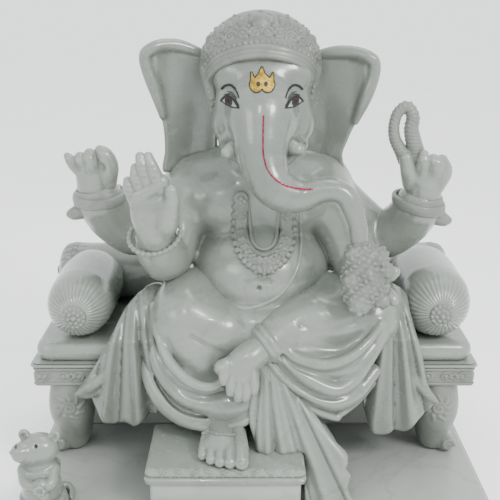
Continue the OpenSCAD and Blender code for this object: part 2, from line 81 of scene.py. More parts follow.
def curve(points, radii, spacing):
    """Smooth curve through given points, as rows of x, y, z, radius."""
    points = np.array(points, float)
    radii = np.broadcast_to(np.array(radii, float), len(points))
    rows = np.column_stack([points, radii])
    if len(rows) == 2:
        return rows
    rows = np.vstack([2 * rows[0] - rows[1], rows, 2 * rows[-1] - rows[-2]])
    out = []
    for a, b, c, d in zip(rows, rows[1:], rows[2:], rows[3:]):
        count = max(2, int(np.linalg.norm((c - b)[:3]) / spacing))
        t = np.arange(count)[:, None] / count
        cubic = (3 * b - a - 3 * c + d) * t**3
        out.append(0.5 * (2 * b + (c - a) * t + (2 * a - 5 * b + 4 * c - d) * t**2 + cubic))
    out.append(rows[-2:-1])
    return np.vstack(out)


def turned(degrees):
    """Rotation matrix from turns about X, then Y, then Z, in degrees."""
    x, y, z = (math.radians(a) for a in degrees)
    turn_x = np.array([[1, 0, 0], [0, math.cos(x), -math.sin(x)], [0, math.sin(x), math.cos(x)]])
    turn_y = np.array([[math.cos(y), 0, math.sin(y)], [0, 1, 0], [-math.sin(y), 0, math.cos(y)]])
    turn_z = np.array([[math.cos(z), -math.sin(z), 0], [math.sin(z), math.cos(z), 0], [0, 0, 1]])
    return turn_z @ turn_y @ turn_x


def smooth_min(a, b, blend):
    """The lesser of two distances, with the crease between them rounded over `blend`."""
    if blend <= 0:
        return np.minimum(a, b)
    near = np.maximum(blend - np.abs(a - b), 0) / blend
    return np.minimum(a, b) - near * near * (blend / 4)


class Carving:
    """A block of marble held as a distance field on a grid, in millimetres."""

    def __init__(self, lowest, highest, step):
        self.step = step * COARSE
        self.low = np.array(lowest, float)
        counts = np.ceil((np.array(highest, float) - self.low) / self.step).astype(int) + 1
        self.axes = [self.low[i] + self.step * np.arange(counts[i]) for i in range(3)]
        self.field = np.full(counts, FAR, np.float32)

    def window(self, lowest, highest):
        """Slices of the grid between two corners, and the coordinates along each axis."""
        first = np.floor((np.array(lowest) - self.low) / self.step).astype(int)
        last = np.ceil((np.array(highest) - self.low) / self.step).astype(int) + 1
        first = np.clip(first, 0, self.field.shape)
        last = np.clip(last, first, self.field.shape)
        cut = tuple(slice(a, b) for a, b in zip(first, last))
        x, y, z = (self.axes[i][cut[i]].astype(np.float32) for i in range(3))
        return cut, x[:, None, None], y[None, :, None], z[None, None, :]

    def merge(self, cut, distance, blend, remove):
        """Adds a form's distances to part of the block, or takes the form away from it."""
        old = self.field[cut]
        if remove:
            self.field[cut] = -smooth_min(-old, distance, blend)
        else:
            self.field[cut] = smooth_min(old, distance, blend)

    def stroke(self, points, radii, blend=4.0, remove=False):
        """A round limb, fold or groove along a smooth curve."""
        rows = curve(points, radii, 2.5 * self.step)
        margin = blend + 2.5 * self.step
        reach = rows[:, 3].max() + margin
        cut, *_ = self.window((rows[:, :3] - reach).min(0), (rows[:, :3] + reach).max(0))
        if any(s.stop <= s.start for s in cut):
            return
        distance = np.full([s.stop - s.start for s in cut], FAR, np.float32)
        origin = [s.start for s in cut]
        for a, b in zip(rows, rows[1:]):
            pad = max(a[3], b[3]) + margin
            part, x, y, z = self.window(np.minimum(a, b)[:3] - pad, np.maximum(a, b)[:3] + pad)
            local = tuple(slice(s.start - o, s.stop - o) for s, o in zip(part, origin))
            along = (b - a)[:3]
            length = max(float(along @ along), 1e-6)
            x, y, z = x - a[0], y - a[1], z - a[2]
            t = np.clip((x * along[0] + y * along[1] + z * along[2]) / length, 0, 1)
            gap = (x - t * along[0])**2 + (y - t * along[1])**2 + (z - t * along[2])**2
            near = np.sqrt(gap) - (a[3] + t * (b[3] - a[3]))
            distance[local] = np.minimum(distance[local], near)
        self.merge(cut, distance, blend, remove)

    def blob(self, centre, half, turn=(0, 0, 0), blend=6.0, remove=False):
        """An ellipsoid."""
        half = np.broadcast_to(np.array(half, float), 3)
        matrix = turned(turn)
        reach = np.sqrt((matrix**2) @ (half**2)) + blend + 2.5 * self.step
        cut, x, y, z = self.window(np.array(centre) - reach, np.array(centre) + reach)
        x, y, z = x - centre[0], y - centre[1], z - centre[2]
        local = [matrix[0, i] * x + matrix[1, i] * y + matrix[2, i] * z for i in range(3)]
        inner = np.sqrt(sum((p / r)**2 for p, r in zip(local, half)))
        outer = np.sqrt(sum((p / r**2)**2 for p, r in zip(local, half)))
        distance = inner * (inner - 1) / np.maximum(outer, 1e-6)
        self.merge(cut, distance.astype(np.float32), blend, remove)

    def sheet(self, outline, depth, thickness, blend):
        """A plate whose outline is drawn in X and Z, and whose middle lies at depth(x, z)."""
        outline = curve([(x, 0, z) for x, z in outline], 0, 6)[:, [0, 2]]
        pad = thickness + blend + 3 * self.step
        corner = np.array([outline[:, 0].min() - pad, -1e4, outline[:, 1].min() - pad])
        cut, x, y, z = self.window(corner, [outline[:, 0].max() + pad, 1e4, outline[:, 1].max() + pad])
        flat = polygon_distance(x[:, 0, :], z[:, 0, :], outline)
        across = np.abs(y - depth(x[:, 0, :], z[:, 0, :])[:, None, :]) - thickness
        past_rim = flat[:, None, :] + thickness
        edge = np.sqrt(np.maximum(past_rim, 0)**2 + np.maximum(across + thickness, 0)**2)
        distance = np.where(past_rim > 0, edge - thickness, across)
        self.merge(cut, distance.astype(np.float32), blend, False)

    def below(self, height):
        """Keeps what is below a height."""
        self.field = np.maximum(self.field, self.axes[2] - height).astype(np.float32)

    def above(self, height):
        """Keeps what is above a height."""
        self.field = np.maximum(self.field, height - self.axes[2]).astype(np.float32)

    def sample(self, points):
        """Distance at any points, read between the grid's own."""
        place = (np.asarray(points, float) - self.low) / self.step
        index = np.clip(place.astype(int), 0, np.array(self.field.shape) - 2)
        part = place - index
        total = np.zeros(len(place))
        for corner in np.ndindex(2, 2, 2):
            weight = np.prod(np.where(corner, part, 1 - part), axis=1)
            total += weight * self.field[tuple((index + corner).T)]
        return total

    def slope(self, points):
        """How fast the distance grows along each axis."""
        rises = [self.sample(points + s) - self.sample(points - s) for s in np.eye(3) * self.step]
        return np.stack(rises, 1) / (2 * self.step)

    def front(self, x, z):
        """Where a line along +Y at each x and z first meets the surface."""
        x, z = np.atleast_1d(x).astype(float), np.atleast_1d(z).astype(float)
        depths = self.axes[1]
        grid = np.stack(np.broadcast_arrays(x[:, None], depths[None, :], z[:, None]), -1)
        values = self.sample(grid.reshape(-1, 3)).reshape(len(x), -1)
        hit = np.argmax(values < 0, axis=1)
        before = np.maximum(hit - 1, 0)
        rows = np.arange(len(x))
        v0, v1 = values[rows, before], values[rows, hit]
        t = np.where(hit > 0, v0 / np.maximum(v0 - v1, 1e-6), 0)
        return depths[before] + t * self.step

    def on(self, x, z, lift=0.0):
        """The surface points seen from the front at each x and z."""
        x, z = np.atleast_1d(x).astype(float), np.atleast_1d(z).astype(float)
        return np.column_stack([x, self.front(x, z) - lift, z])

    def mesh(self, name):
        """Closes the block at its own faces and makes an object of its surface."""
        for axis in range(3):
            for end in (0, -1):
                face = [slice(None)] * 3
                face[axis] = end
                self.field[tuple(face)] = np.maximum(self.field[tuple(face)], self.step)
        grid = openvdb.FloatGrid(4 * self.step)
        grid.copyFromArray(np.clip(self.field, -4 * self.step, 4 * self.step), tolerance=0.0)
        points, quads = grid.convertToQuads(0.0)
        points = points.astype(float) * self.step + self.low
        for _ in range(3):
            slope = self.slope(points)
            move = self.sample(points)[:, None] * slope / np.maximum((slope**2).sum(1), 0.2)[:, None]
            points -= np.clip(move, -0.4 * self.step, 0.4 * self.step)
        return mesh_object(name, points, quads)


def polygon_distance(x, z, outline):
    """Signed distance from a closed outline: negative inside."""
    best = np.full(np.broadcast(x, z).shape, 1e9)
    inside = np.zeros(best.shape, bool)
    for (ax, az), (bx, bz) in zip(outline, np.roll(outline, -1, 0)):
        ex, ez = bx - ax, bz - az
        t = np.clip(((x - ax) * ex + (z - az) * ez) / max(ex * ex + ez * ez, 1e-9), 0, 1)
        best = np.minimum(best, (x - ax - t * ex)**2 + (z - az - t * ez)**2)
        crosses = (az > z) != (bz > z)
        inside ^= crosses & (x < ax + (z - az) / (ez if ez else 1e-9) * ex)
    return np.where(inside, -1, 1) * np.sqrt(best)


def linked(name, data):
    """A new object in the scene that holds a mesh, a light or a camera."""
    made = bpy.data.objects.new(name, data)
    bpy.context.scene.collection.objects.link(made)
    return made


def mesh_object(name, points, faces):
    """A smooth-shaded object from points in millimetres and quads."""
    mesh = bpy.data.meshes.new(name)
    points = np.asarray(points, np.float32) * MM
    faces = np.asarray(faces, np.int32)
    mesh.vertices.add(len(points))
    mesh.vertices.foreach_set("co", points.ravel())
    mesh.loops.add(faces.size)
    mesh.loops.foreach_set("vertex_index", faces.ravel())
    mesh.polygons.add(len(faces))
    mesh.polygons.foreach_set("loop_start", np.arange(len(faces), dtype=np.int32) * faces.shape[1])
    mesh.update(calc_edges=True)
    mesh.validate()
    bm = bmesh.new()
    bm.from_mesh(mesh)
    bmesh.ops.recalc_face_normals(bm, faces=bm.faces)
    bm.to_mesh(mesh)
    bm.free()
    mesh.shade_smooth()
    return linked(name, mesh)


def split(piece, name, at, normal, seed, reach):
    """Cuts a limb off along a plane near `at`: the part round `seed` becomes a new closed piece."""
    bm = bmesh.new()
    bm.from_mesh(piece.data)
    at, normal, seed = Vector(at) * MM, Vector(normal).normalized(), Vector(seed) * MM
    near = [f for f in bm.faces if (f.calc_center_median() - at).length < reach * MM]
    geometry = set(near) | {v for f in near for v in f.verts} | {e for f in near for e in f.edges}
    made = bmesh.ops.bisect_plane(bm, geom=list(geometry), plane_co=at, plane_no=normal)
    seam = [e for e in made["geom_cut"] if isinstance(e, bmesh.types.BMEdge)]
    bmesh.ops.split_edges(bm, edges=seam)
    start = min(bm.verts, key=lambda v: (v.co - seed).length)
    limb, queue = {start}, [start]
    while queue:
        for edge in queue.pop().link_edges:
            for vert in edge.verts:
                if vert not in limb:
                    limb.add(vert)
                    queue.append(vert)
    other = bm.copy()
    other.verts.ensure_lookup_table()
    bm.verts.index_update()
    limb_index = {v.index for v in limb}
    bmesh.ops.delete(other, geom=[v for v in other.verts if v.index not in limb_index], context="VERTS")
    bmesh.ops.delete(bm, geom=list(limb), context="VERTS")
    close(bm)
    close(other)
    bm.to_mesh(piece.data)
    mesh = bpy.data.meshes.new(name)
    other.to_mesh(mesh)
    bm.free()
    other.free()
    return linked(name, mesh)


def close(bm):
    """Caps open edges with sharp-edged faces, so that the skin's shading runs on across the cut."""
    rims = [e for e in bm.edges if e.is_boundary]
    for edge in rims:
        edge.smooth = False
    made = bmesh.ops.holes_fill(bm, edges=rims, sides=0)
    bmesh.ops.triangulate(bm, faces=made["faces"])
    bmesh.ops.recalc_face_normals(bm, faces=bm.faces)


def keep_piece(piece, material, slot, *nodes):
    """Gives a piece its material and its place on the body, and hides the CAD nodes that it stands for."""
    piece.data.materials.clear()
    piece.data.materials.append(material)
    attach(piece, "root")
    if nodes:
        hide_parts(*nodes)
    return piece


# ---------- materials ----------

def new_material(name):
    material = bpy.data.materials.new(name)
    material.use_nodes = True
    tree = material.node_tree
    return material, tree, tree.nodes["Principled BSDF"]


def noise(tree, scale, detail, distortion=0.0):
    """Cloudy noise fixed to the piece."""
    place = tree.nodes.new("ShaderNodeTexCoord")
    node = tree.nodes.new("ShaderNodeTexNoise")
    node.inputs["Scale"].default_value = scale
    node.inputs["Detail"].default_value = detail
    node.inputs["Distortion"].default_value = distortion
    tree.links.new(place.outputs["Object"], node.inputs["Vector"])
    return node.outputs["Fac"]


def ramp(tree, source, *stops):
    """Colours read off a scale from 0 to 1, given as (place, colour)."""
    node = tree.nodes.new("ShaderNodeValToRGB")
    while len(node.color_ramp.elements) < len(stops):
        node.color_ramp.elements.new(0.5)
    for element, (at, colour) in zip(node.color_ramp.elements, stops):
        element.position = at
        element.color = (*colour, 1)
    tree.links.new(source, node.inputs["Fac"])
    return node.outputs["Color"]


def mixed(tree, kind, factor, first, second):
    """Two colours blended; each value may be a number, a colour or another node's output."""
    node = tree.nodes.new("ShaderNodeMix")
    node.data_type = "RGBA"
    node.blend_type = kind
    for socket, value in zip((node.inputs[0], node.inputs[6], node.inputs[7]), (factor, first, second)):
        if isinstance(value, bpy.types.NodeSocket):
            tree.links.new(value, socket)
        elif isinstance(value, tuple):
            socket.default_value = (*value, 1)
        else:
            socket.default_value = value
    return node.outputs[2]


def bumped(tree, shader, height, strength, distance):
    """Fine relief in a shader's surface."""
    node = tree.nodes.new("ShaderNodeBump")
    node.inputs["Strength"].default_value = strength
    node.inputs["Distance"].default_value = distance
    tree.links.new(height, node.inputs["Height"])
    tree.links.new(node.outputs["Normal"], shader.inputs["Normal"])


def marble(name, pale, deep, gloss, rough, ripple, hollow):
    """White marble: soft clouds, faint veins, painted shade in the creases, light that sinks in, and a
    polish of varying depth.
    """
    material, tree, shader = new_material(name)
    clouds = ramp(tree, noise(tree, 9, 5, 0.4), (0.30, deep), (0.62, pale))
    vein_tone = tuple(0.80 * c for c in deep)
    veins = ramp(tree, noise(tree, 5.5, 7, 1.6), (0.475, (0, 0, 0)), (0.50, (1, 1, 1)), (0.525, (0, 0, 0)))
    strength = mixed(tree, "MULTIPLY", 1.0, veins, (0.35, 0.35, 0.35))
    # painted shade: the colour is darkened in creases and hollows, read from how sharply the surface bends
    form = tree.nodes.new("ShaderNodeNewGeometry")
    painted_crease_shade = ramp(tree, form.outputs["Pointiness"], (0.42, (hollow,) * 3), (0.51, (1, 1, 1)))
    stone = mixed(tree, "MIX", strength, clouds, vein_tone)
    tree.links.new(mixed(tree, "MULTIPLY", 1.0, stone, painted_crease_shade), shader.inputs["Base Color"])
    polish = ramp(tree, noise(tree, 60, 4), (0.3, (rough * 0.8,) * 3), (0.7, (rough * 1.3,) * 3))
    tree.links.new(polish, shader.inputs["Roughness"])
    bumped(tree, shader, noise(tree, 120, 5), ripple, 0.0012)
    shader.inputs["Subsurface Weight"].default_value = 0.25
    shader.inputs["Subsurface Radius"].default_value = (1.0, 1.0, 0.85)
    shader.inputs["Subsurface Scale"].default_value = 0.006
    shader.inputs["Coat Weight"].default_value = gloss
    shader.inputs["Coat Roughness"].default_value = 0.06
    shader.inputs["IOR"].default_value = 1.5
    return material


def paint(name, colour, deep, rough, metal=0.0):
    """Thin hand-laid paint or leaf with a slightly uneven coat."""
    material, tree, shader = new_material(name)
    coat = ramp(tree, noise(tree, 260, 5), (0.35, deep), (0.65, colour))
    tree.links.new(coat, shader.inputs["Base Color"])
    sheen = ramp(tree, noise(tree, 400, 3), (0.3, (rough * 0.7,) * 3), (0.7, (rough * 1.3,) * 3))
    tree.links.new(sheen, shader.inputs["Roughness"])
    bumped(tree, shader, noise(tree, 900, 4), 0.25, 0.0004)
    shader.inputs["Metallic"].default_value = metal
    shader.inputs["Specular IOR Level"].default_value = 0.25
    shader.inputs["Coat Weight"].default_value = 0.08
    shader.inputs["Coat Roughness"].default_value = 0.1
    return material


POLISHED = marble("polished marble", (0.187, 0.207, 0.181), (0.152, 0.170, 0.147), 0.35, 0.23, 0.10, 0.42)
CARVED = marble("carved marble", (0.170, 0.185, 0.163), (0.112, 0.123, 0.106), 0.12, 0.42, 0.35, 0.30)
# painted shade: a darker copy of the polished marble for the head, trunk, ears and side drapes, as if those
# parts sat in shadow
SHADED_MARBLE = marble("marble in painted shade", (0.150, 0.166, 0.145), (0.121, 0.136, 0.117), 0.35, 0.23, 0.10, 0.42)
# painted shade: a darker copy of the carved marble for the crown, as if it sat in shadow
SHADED_CROWN_MARBLE = marble("crown marble in painted shade", (0.143, 0.154, 0.135), (0.088, 0.097, 0.083), 0.12, 0.40, 0.35, 0.28)
# plinth, bench core and footstool block: a real matte finish, with the colour made paler than the figure's
# marble as painted light, as if lit from above
MATTE_PAINTED_LIGHT = marble("plinth marble with painted light", (0.28, 0.295, 0.275), (0.23, 0.245, 0.226), 0.15, 0.40, 0.20, 0.6)
GOLD = paint("gold leaf", (0.44, 0.30, 0.04), (0.20, 0.125, 0.012), 0.30, 0.6)
DARK_LINE = paint("dark brown line", (0.020, 0.010, 0.007), (0.010, 0.005, 0.004), 0.5)
EYE_BLACK = paint("eye black", (0.007, 0.007, 0.008), (0.004, 0.004, 0.005), 0.5)
EYE_BROWN = paint("eye brown", (0.040, 0.017, 0.018), (0.018, 0.008, 0.009), 0.3)
EYE_WHITE = paint("eye white", (0.24, 0.25, 0.235), (0.20, 0.21, 0.20), 0.3)
RED = paint("red stone", (0.28, 0.008, 0.04), (0.07, 0.004, 0.015), 0.12)


def keep_carving(carving, name, material=POLISHED, slot="polished_marble"):
    """Keeps a carving as the piece that stands for the CAD node of the same name."""
    keep_piece(carving.mesh(name), material, slot, name)


# ---------- the body and its four arms ----------

def carve_body():
    """Chest, belly, lap and all four arms in one skin."""
    body = Carving((-236, -100, 198), (244, 116, 462), 1.9)
    body.blob((5, 50, 322), (82, 50, 104))
    body.blob((8, 21, 279), (88, 85, 69), blend=22)
    body.blob((6, 40, 362), (86, 50, 58), blend=22)
    body.blob((4, 44, 232), (104, 72, 42), blend=12)
    body.stroke([(-78, 46, 388), (5, 44, 400), (88, 46, 388)], [35, 42, 35], 18)
    body.stroke([(6, 36, 400), (8, 26, 452)], [48, 44], 14)
    for x, z in ((-40, 370), (54, 368)):
        body.blob((x, 6, z), (42, 27, 33), blend=16)
    # soft roll of the lower belly over the lap, and cloth filling the lap below it
    body.stroke([(-58, -34, 246), (-26, -56, 239), (8, -62, 237), (42, -56, 240), (74, -34, 247)],
                [12, 15, 16, 15, 12], 14)
    body.blob((4, -40, 222), (66, 46, 26), blend=8)
    # upper arms, elbows and forearms
    body.stroke([(-76, 50, 380), (-118, 50, 343), (-152, 42, 322), (-177, 25, 343), (-191, 6, 372)],
                [35, 33, 31, 30.5, 30], 10)
    body.stroke([(86, 50, 380), (128, 50, 341), (164, 42, 318), (190, 25, 337), (204, 6, 364)],
                [35, 33, 31, 30.5, 30], 10)
    body.stroke([(-84, 24, 374), (-98, 6, 334), (-107, -18, 308), (-113, -44, 322), (-116, -60, 346)],
                [33, 32, 31, 28, 24], 10)
    body.stroke([(92, 20, 374), (116, 10, 328), (128, -2, 294), (133, -28, 290), (134, -50, 298)],
                [33, 31, 29, 27, 22], 10)
    # navel with the soft roll above it
    body.blob((6, -63, 281), (2.6, 5, 2.6), blend=4, remove=True)
    body.stroke([(-10, -61, 289), (5, -63, 291), (20, -61, 289)], [1.5, 2.2, 1.5], 7, remove=True)
    return body


BODY = carve_body()
keep_piece(BODY.mesh("torso_and_arms"), POLISHED, "polished_marble",
           "torso", "right_rear_arm", "left_rear_arm", "right_front_arm", "left_front_arm")


# ---------- legs and the cloth over them ----------

def carve_right_leg():
    """Folded thigh, hanging shin and the swags of cloth that cover them."""
    leg = Carving((-150, -135, STOOL_TOP + 2), (40, 70, 300), 1.6)
    leg.stroke([(-46, 30, 244), (-76, -20, 245)], [48, 46], 8)
    leg.blob((-82, -46, 234), (46, 48, 50), blend=14)
    leg.blob((-46, -52, 224), (48, 42, 40), blend=14)
    leg.blob((-8, -44, 216), (40, 40, 26), blend=12)
    # shin, set back behind the hanging cloth
    leg.stroke([(-70, -58, 204), (-62, -60, 168), (-56, -60, 134)], [38, 33, 31], 10)
    leg.stroke([(-96, -44, 200), (-90, -48, 160)], [30, 27], 10)
    # cloth filling in behind the hems
    leg.stroke([(-126, -36, 222), (-110, -58, 190), (-88, -74, 168), (-60, -80, 158), (-32, -78, 162)],
               [14, 18, 19, 19, 17], 10)
    # rolled hem under the knee
    leg.stroke([(-124, -50, 254), (-116, -74, 230), (-104, -92, 206), (-88, -104, 189), (-70, -110, 178),
                (-52, -110, 174), (-38, -106, 180), (-28, -98, 194)], [3.5, 5, 6, 6.5, 6.5, 6, 5, 4], 5)
    # second fold with two fine creases in its hollow
    leg.stroke([(-130, -44, 228), (-122, -66, 196), (-106, -84, 170), (-84, -96, 153), (-60, -100, 147),
                (-36, -98, 152), (-16, -90, 168)], [5, 7, 8, 8.5, 8.5, 8, 6], 9)
    for drop in (0, 9):
        leg.stroke([(-118, -62, 206 - drop), (-104, -82, 186 - drop), (-86, -94, 172 - drop),
                    (-62, -98, 165 - drop), (-38, -98, 168 - drop)], [2, 2.6, 3, 2.8, 2], 3.5)
    # broad lower band, deepest behind the fold above it
    leg.stroke([(-132, -44, 200), (-126, -62, 168), (-110, -78, 144), (-88, -88, 129), (-62, -92, 122),
                (-36, -92, 125), (-12, -88, 138)], [10, 13, 15, 15, 14, 13, 11], 5)
    leg.stroke([(-134, -50, 184), (-126, -70, 158), (-110, -84, 138), (-88, -97, 124), (-62, -106, 119),
                (-38, -111, 121), (-14, -112, 128), (10, -104, 142)], [4, 5, 5, 5, 5, 5, 5, 4], 4)
    # the same band carried on in front of the ankle
    leg.stroke([(-72, -84, 138), (-44, -94, 139), (-16, -96, 146), (12, -90, 156)], [15, 16, 16, 14], 8)
    # grooves that part the folds
    leg.stroke([(-122, -62, 218), (-106, -86, 192), (-86, -102, 176), (-62, -108, 167), (-40, -106, 171)],
               [1.6, 2.4, 3, 2.8, 2], 5, remove=True)
    leg.stroke([(-128, -62, 182), (-112, -82, 157), (-90, -96, 140), (-62, -101, 133), (-38, -101, 137),
                (-16, -94, 150)], [2.4, 3.2, 3.8, 3.8, 3.4, 2.4], 3, remove=True)
    leg.stroke([(-74, -94, 232), (-52, -95, 218), (-34, -92, 208)], [0.6, 1.2, 0.6], 7, remove=True)
    leg.above(STOOL_TOP + 6)
    return leg


def carve_left_leg():
    """Thigh laid across the lap, its cuff at the ankle and the swags below it."""
    leg = Carving((-12, -130, 112), (206, 60, 300), 1.6)
    leg.stroke([(50, 30, 234), (96, -14, 238), (140, -28, 238)], [44, 46, 42], 10)
    leg.blob((92, -44, 236), (62, 44, 36), blend=14)
    leg.blob((148, -36, 232), (32, 38, 34), blend=14)
    leg.stroke([(146, -36, 214), (84, -62, 200), (22, -82, 216)], [34, 30, 22], 10)
    # cloth narrowing to the ankle, with a small cuff round it
    leg.stroke([(74, -52, 238), (40, -70, 232), (18, -84, 222)], [36, 28, 22.5], 12)
    way = np.array([-0.80, -0.33, -0.50])
    across = np.cross(way, [0, 0, 1.0])
    across /= np.linalg.norm(across)
    up = np.cross(across, way)
    for back, r in ((0, 21.5), (7, 23)):
        leg.stroke([np.array([12, -87, 218.0]) - way * back + r * (math.cos(a) * across + math.sin(a) * up)
                    for a in np.linspace(0, 2 * math.pi, 17)], 3.2, 3)
    # rolled edge under the thigh, then two swags
    leg.stroke([(16, -84, 244), (28, -94, 226), (50, -104, 209), (80, -108, 202), (109, -104, 208),
                (134, -92, 224), (152, -74, 240)], [4, 5, 5.5, 6, 6, 5, 4], 5)
    leg.stroke([(14, -88, 226), (38, -99, 205), (56, -105, 189), (76, -107, 176), (97, -106, 169),
                (116, -99, 176), (136, -86, 196), (156, -66, 220)], [6, 7.5, 8.5, 9, 9, 8.5, 7, 6], 5)
    leg.stroke([(10, -88, 212), (34, -96, 186), (58, -98, 166), (80, -97, 153), (100, -94, 147),
                (124, -84, 154), (148, -68, 176)], [7, 9, 10, 11, 11, 10, 8], 5)
    # long lower edge, rolled, with its point to the figure's left
    leg.stroke([(8, -88, 196), (24, -92, 176), (50, -93, 155), (74, -90, 142), (96, -86, 135)],
               [9, 11, 12, 11, 8], 5)
    leg.stroke([(6, -94, 190), (24, -99, 174), (50, -102, 152), (74, -101, 138), (94, -98, 129),
                (102, -96, 125)], [4, 4.5, 5, 5, 4.5, 2.5], 4)
    leg.stroke([(100, -96, 127), (112, -92, 135), (128, -84, 146), (146, -70, 160)], [3, 4, 4.5, 4], 4)
    leg.stroke([(66, -60, 176), (126, -54, 172)], [26, 22], 8)
    # cloth filling in behind the hems
    leg.stroke([(18, -76, 226), (44, -88, 208), (80, -92, 194), (112, -88, 196), (146, -66, 224)],
               [12, 14, 15, 15, 14], 8)
    leg.stroke([(20, -80, 202), (46, -86, 184), (78, -88, 170), (112, -82, 168)], [12, 15, 16, 15], 8)
    # grooves that part the folds
    leg.stroke([(22, -97, 224), (42, -107, 204), (66, -112, 194), (94, -112, 191), (120, -102, 200),
                (144, -84, 220)], [2, 2.8, 3.2, 3.2, 2.6, 2], 3, remove=True)
    leg.stroke([(22, -99, 202), (44, -106, 180), (68, -108, 165), (94, -106, 157), (118, -97, 163),
                (140, -80, 184)], [2, 2.8, 3.2, 3.2, 2.6, 2], 3, remove=True)
    leg.stroke([(20, -100, 184), (44, -104, 164), (66, -104, 150), (88, -101, 140), (98, -98, 136)],
               [1.6, 2.2, 2.4, 2, 1.2], 3, remove=True)
    leg.stroke([(56, -92, 246), (84, -96, 240), (120, -84, 246)], [1.5, 2.2, 1.5], 8, remove=True)
    leg.above(114)
    return leg


keep_carving(carve_right_leg(), "right_leg")
keep_carving(carve_left_leg(), "left_leg")


def carve_right_foot():
    """Foot flat on the stool, with toes and nails."""
    foot = Carving((-80, -180, STOOL_TOP - 2), (14, -60, 150), 1.1)
    foot.stroke([(-42, -84, 115), (-41, -104, 113), (-39, -126, 112)], [17, 17.5, 15], 6)
    foot.blob((-38, -128, 110), (25, 22, 12), blend=10)
    toes = [(-60, -146, 5.8), (-50, -155, 6), (-39.5, -160, 6.2), (-28, -162, 6.6), (-14.5, -161, 8.6)]
    for x, y, r in toes:
        foot.stroke([(x * 0.80 - 7, -118, 118), (x * 0.93 - 2, y + 22, 113), (x, y + 8, 108),
                     (x, y, 104.5)], [r + 0.5, r + 0.3, r, r], 1.2)
        foot.blob((x, y - r * 0.7, 107), (r * 0.62, 2, r * 0.5), (-35, 0, 0), 1, remove=True)
        foot.blob((x, y - r * 0.45, 106.5), (r * 0.55, 2.4, r * 0.45), (-35, 0, 0), 1)
    foot.above(STOOL_TOP + 0.2)
    return foot


def carve_left_foot():
    """Crossed foot, seen toes down."""
    foot = Carving((-64, -146, 138), (44, -60, 246), 1.1)
    foot.stroke([(22, -82, 224), (6, -92, 214), (-10, -99, 206)], [18, 18, 16], 6)
    foot.stroke([(-8, -100, 206), (-30, -108, 198)], [17, 13], 8)
    foot.blob((-38, -112, 200), (9, 9, 9), blend=6)
    foot.blob((-17, -110, 188), (20, 13, 15), blend=6)
    toes = [(-36, -120, 186, 6.0), (-28, -122, 173, 5.8), (-19, -123, 166, 6.0), (-10, -122, 166, 6.2),
            (-1, -118, 173, 6.4)]
    for x, y, z, r in toes:
        foot.stroke([(x * 0.5 - 8, -106, 202), (x * 0.85 - 2, y + 7, z + 20), (x + 0.5, y + 1, z + 8),
                     (x, y, z)], [r + 2.5, r + 1, r + 0.4, r - 0.8], 1.2)
    return foot


RIGHT_FOOT = carve_right_foot()
keep_carving(RIGHT_FOOT, "right_foot")
keep_carving(carve_left_foot(), "left_foot")


# ---------- hanging drapery ----------

def fan(apex_x, apex_z, folds, deep, lean=0.0):
    """Rounded flutes with sharp valleys, spreading from a point above the cloth: offset in Y."""
    def flutes(x, z):
        angle = np.arctan2(x - apex_x, apex_z - z)
        spread = np.clip((apex_z - z) / 150, 0.25, 1)
        main = 1 - 2 * np.abs(np.cos(angle * folds + lean))**0.7
        fine = 0.4 * np.cos(angle * folds * 3.3 + 1)
        return deep * spread * (main + fine)
    return flutes


def make_right_drape():
    """Fluted cloth over the bench's edge, with a turned-back corner."""
    cloth = Carving((-232, -92, 92), (-92, 60, 300), 1.5)
    flutes = fan(-150, 340, 19, 5.0)

    def depth(x, z):
        return -60 + 0.75 * np.maximum(z - 214, 0) + flutes(x, z)
    outline = [(-134, 266), (-156, 250), (-176, 216), (-192, 186), (-210, 160), (-219, 147), (-206, 138),
               (-200, 126), (-194, 114), (-188, 105), (-174, 99), (-163, 105), (-151, 98), (-138, 106),
               (-127, 115), (-114, 124), (-106, 160), (-102, 210), (-110, 250)]
    cloth.sheet(outline, depth, 6.5, 3)
    cloth.stroke([(-122, -12, 250), (-136, -36, 232), (-156, -46, 130)], [20, 15, 9], 10)
    # leaf of turned-back cloth at the outer corner
    cloth.stroke([(-184, -64, 168), (-200, -70, 156), (-217, -73, 147)], [6, 7.5, 2.5], 5)
    cloth.stroke([(-194, -64, 148), (-206, -69, 145), (-217, -72, 146)], [7, 6, 2.5], 4)
    cloth.above(96)
    keep_carving(cloth, "right_side_drape", SHADED_MARBLE)


def make_left_drape():
    """Fluted cloth over the bench's other edge."""
    cloth = Carving((112, -90, 78), (240, 40, 286), 1.5)
    flutes = fan(164, 330, 18, 5.0, 0.6)

    def depth(x, z):
        return -60 + 0.75 * np.maximum(z - 216, 0) + flutes(x, z)
    outline = [(172, 272), (156, 252), (152, 210), (142, 150), (136, 128), (140, 112), (145, 94), (152, 88),
               (164, 86), (176, 90), (188, 90), (196, 97), (205, 105), (213, 112), (222, 126), (226, 133),
               (216, 150), (206, 195), (197, 224), (188, 262)]
    cloth.sheet(outline, depth, 6.5, 2)
    cloth.stroke([(168, -30, 252), (172, -44, 200), (178, -46, 118)], [20, 14, 9], 8)
    cloth.stroke([(200, -62, 162), (212, -66, 147), (226, -69, 134)], [5, 6.5, 2.5], 5)
    keep_carving(cloth, "left_side_drape", SHADED_MARBLE)


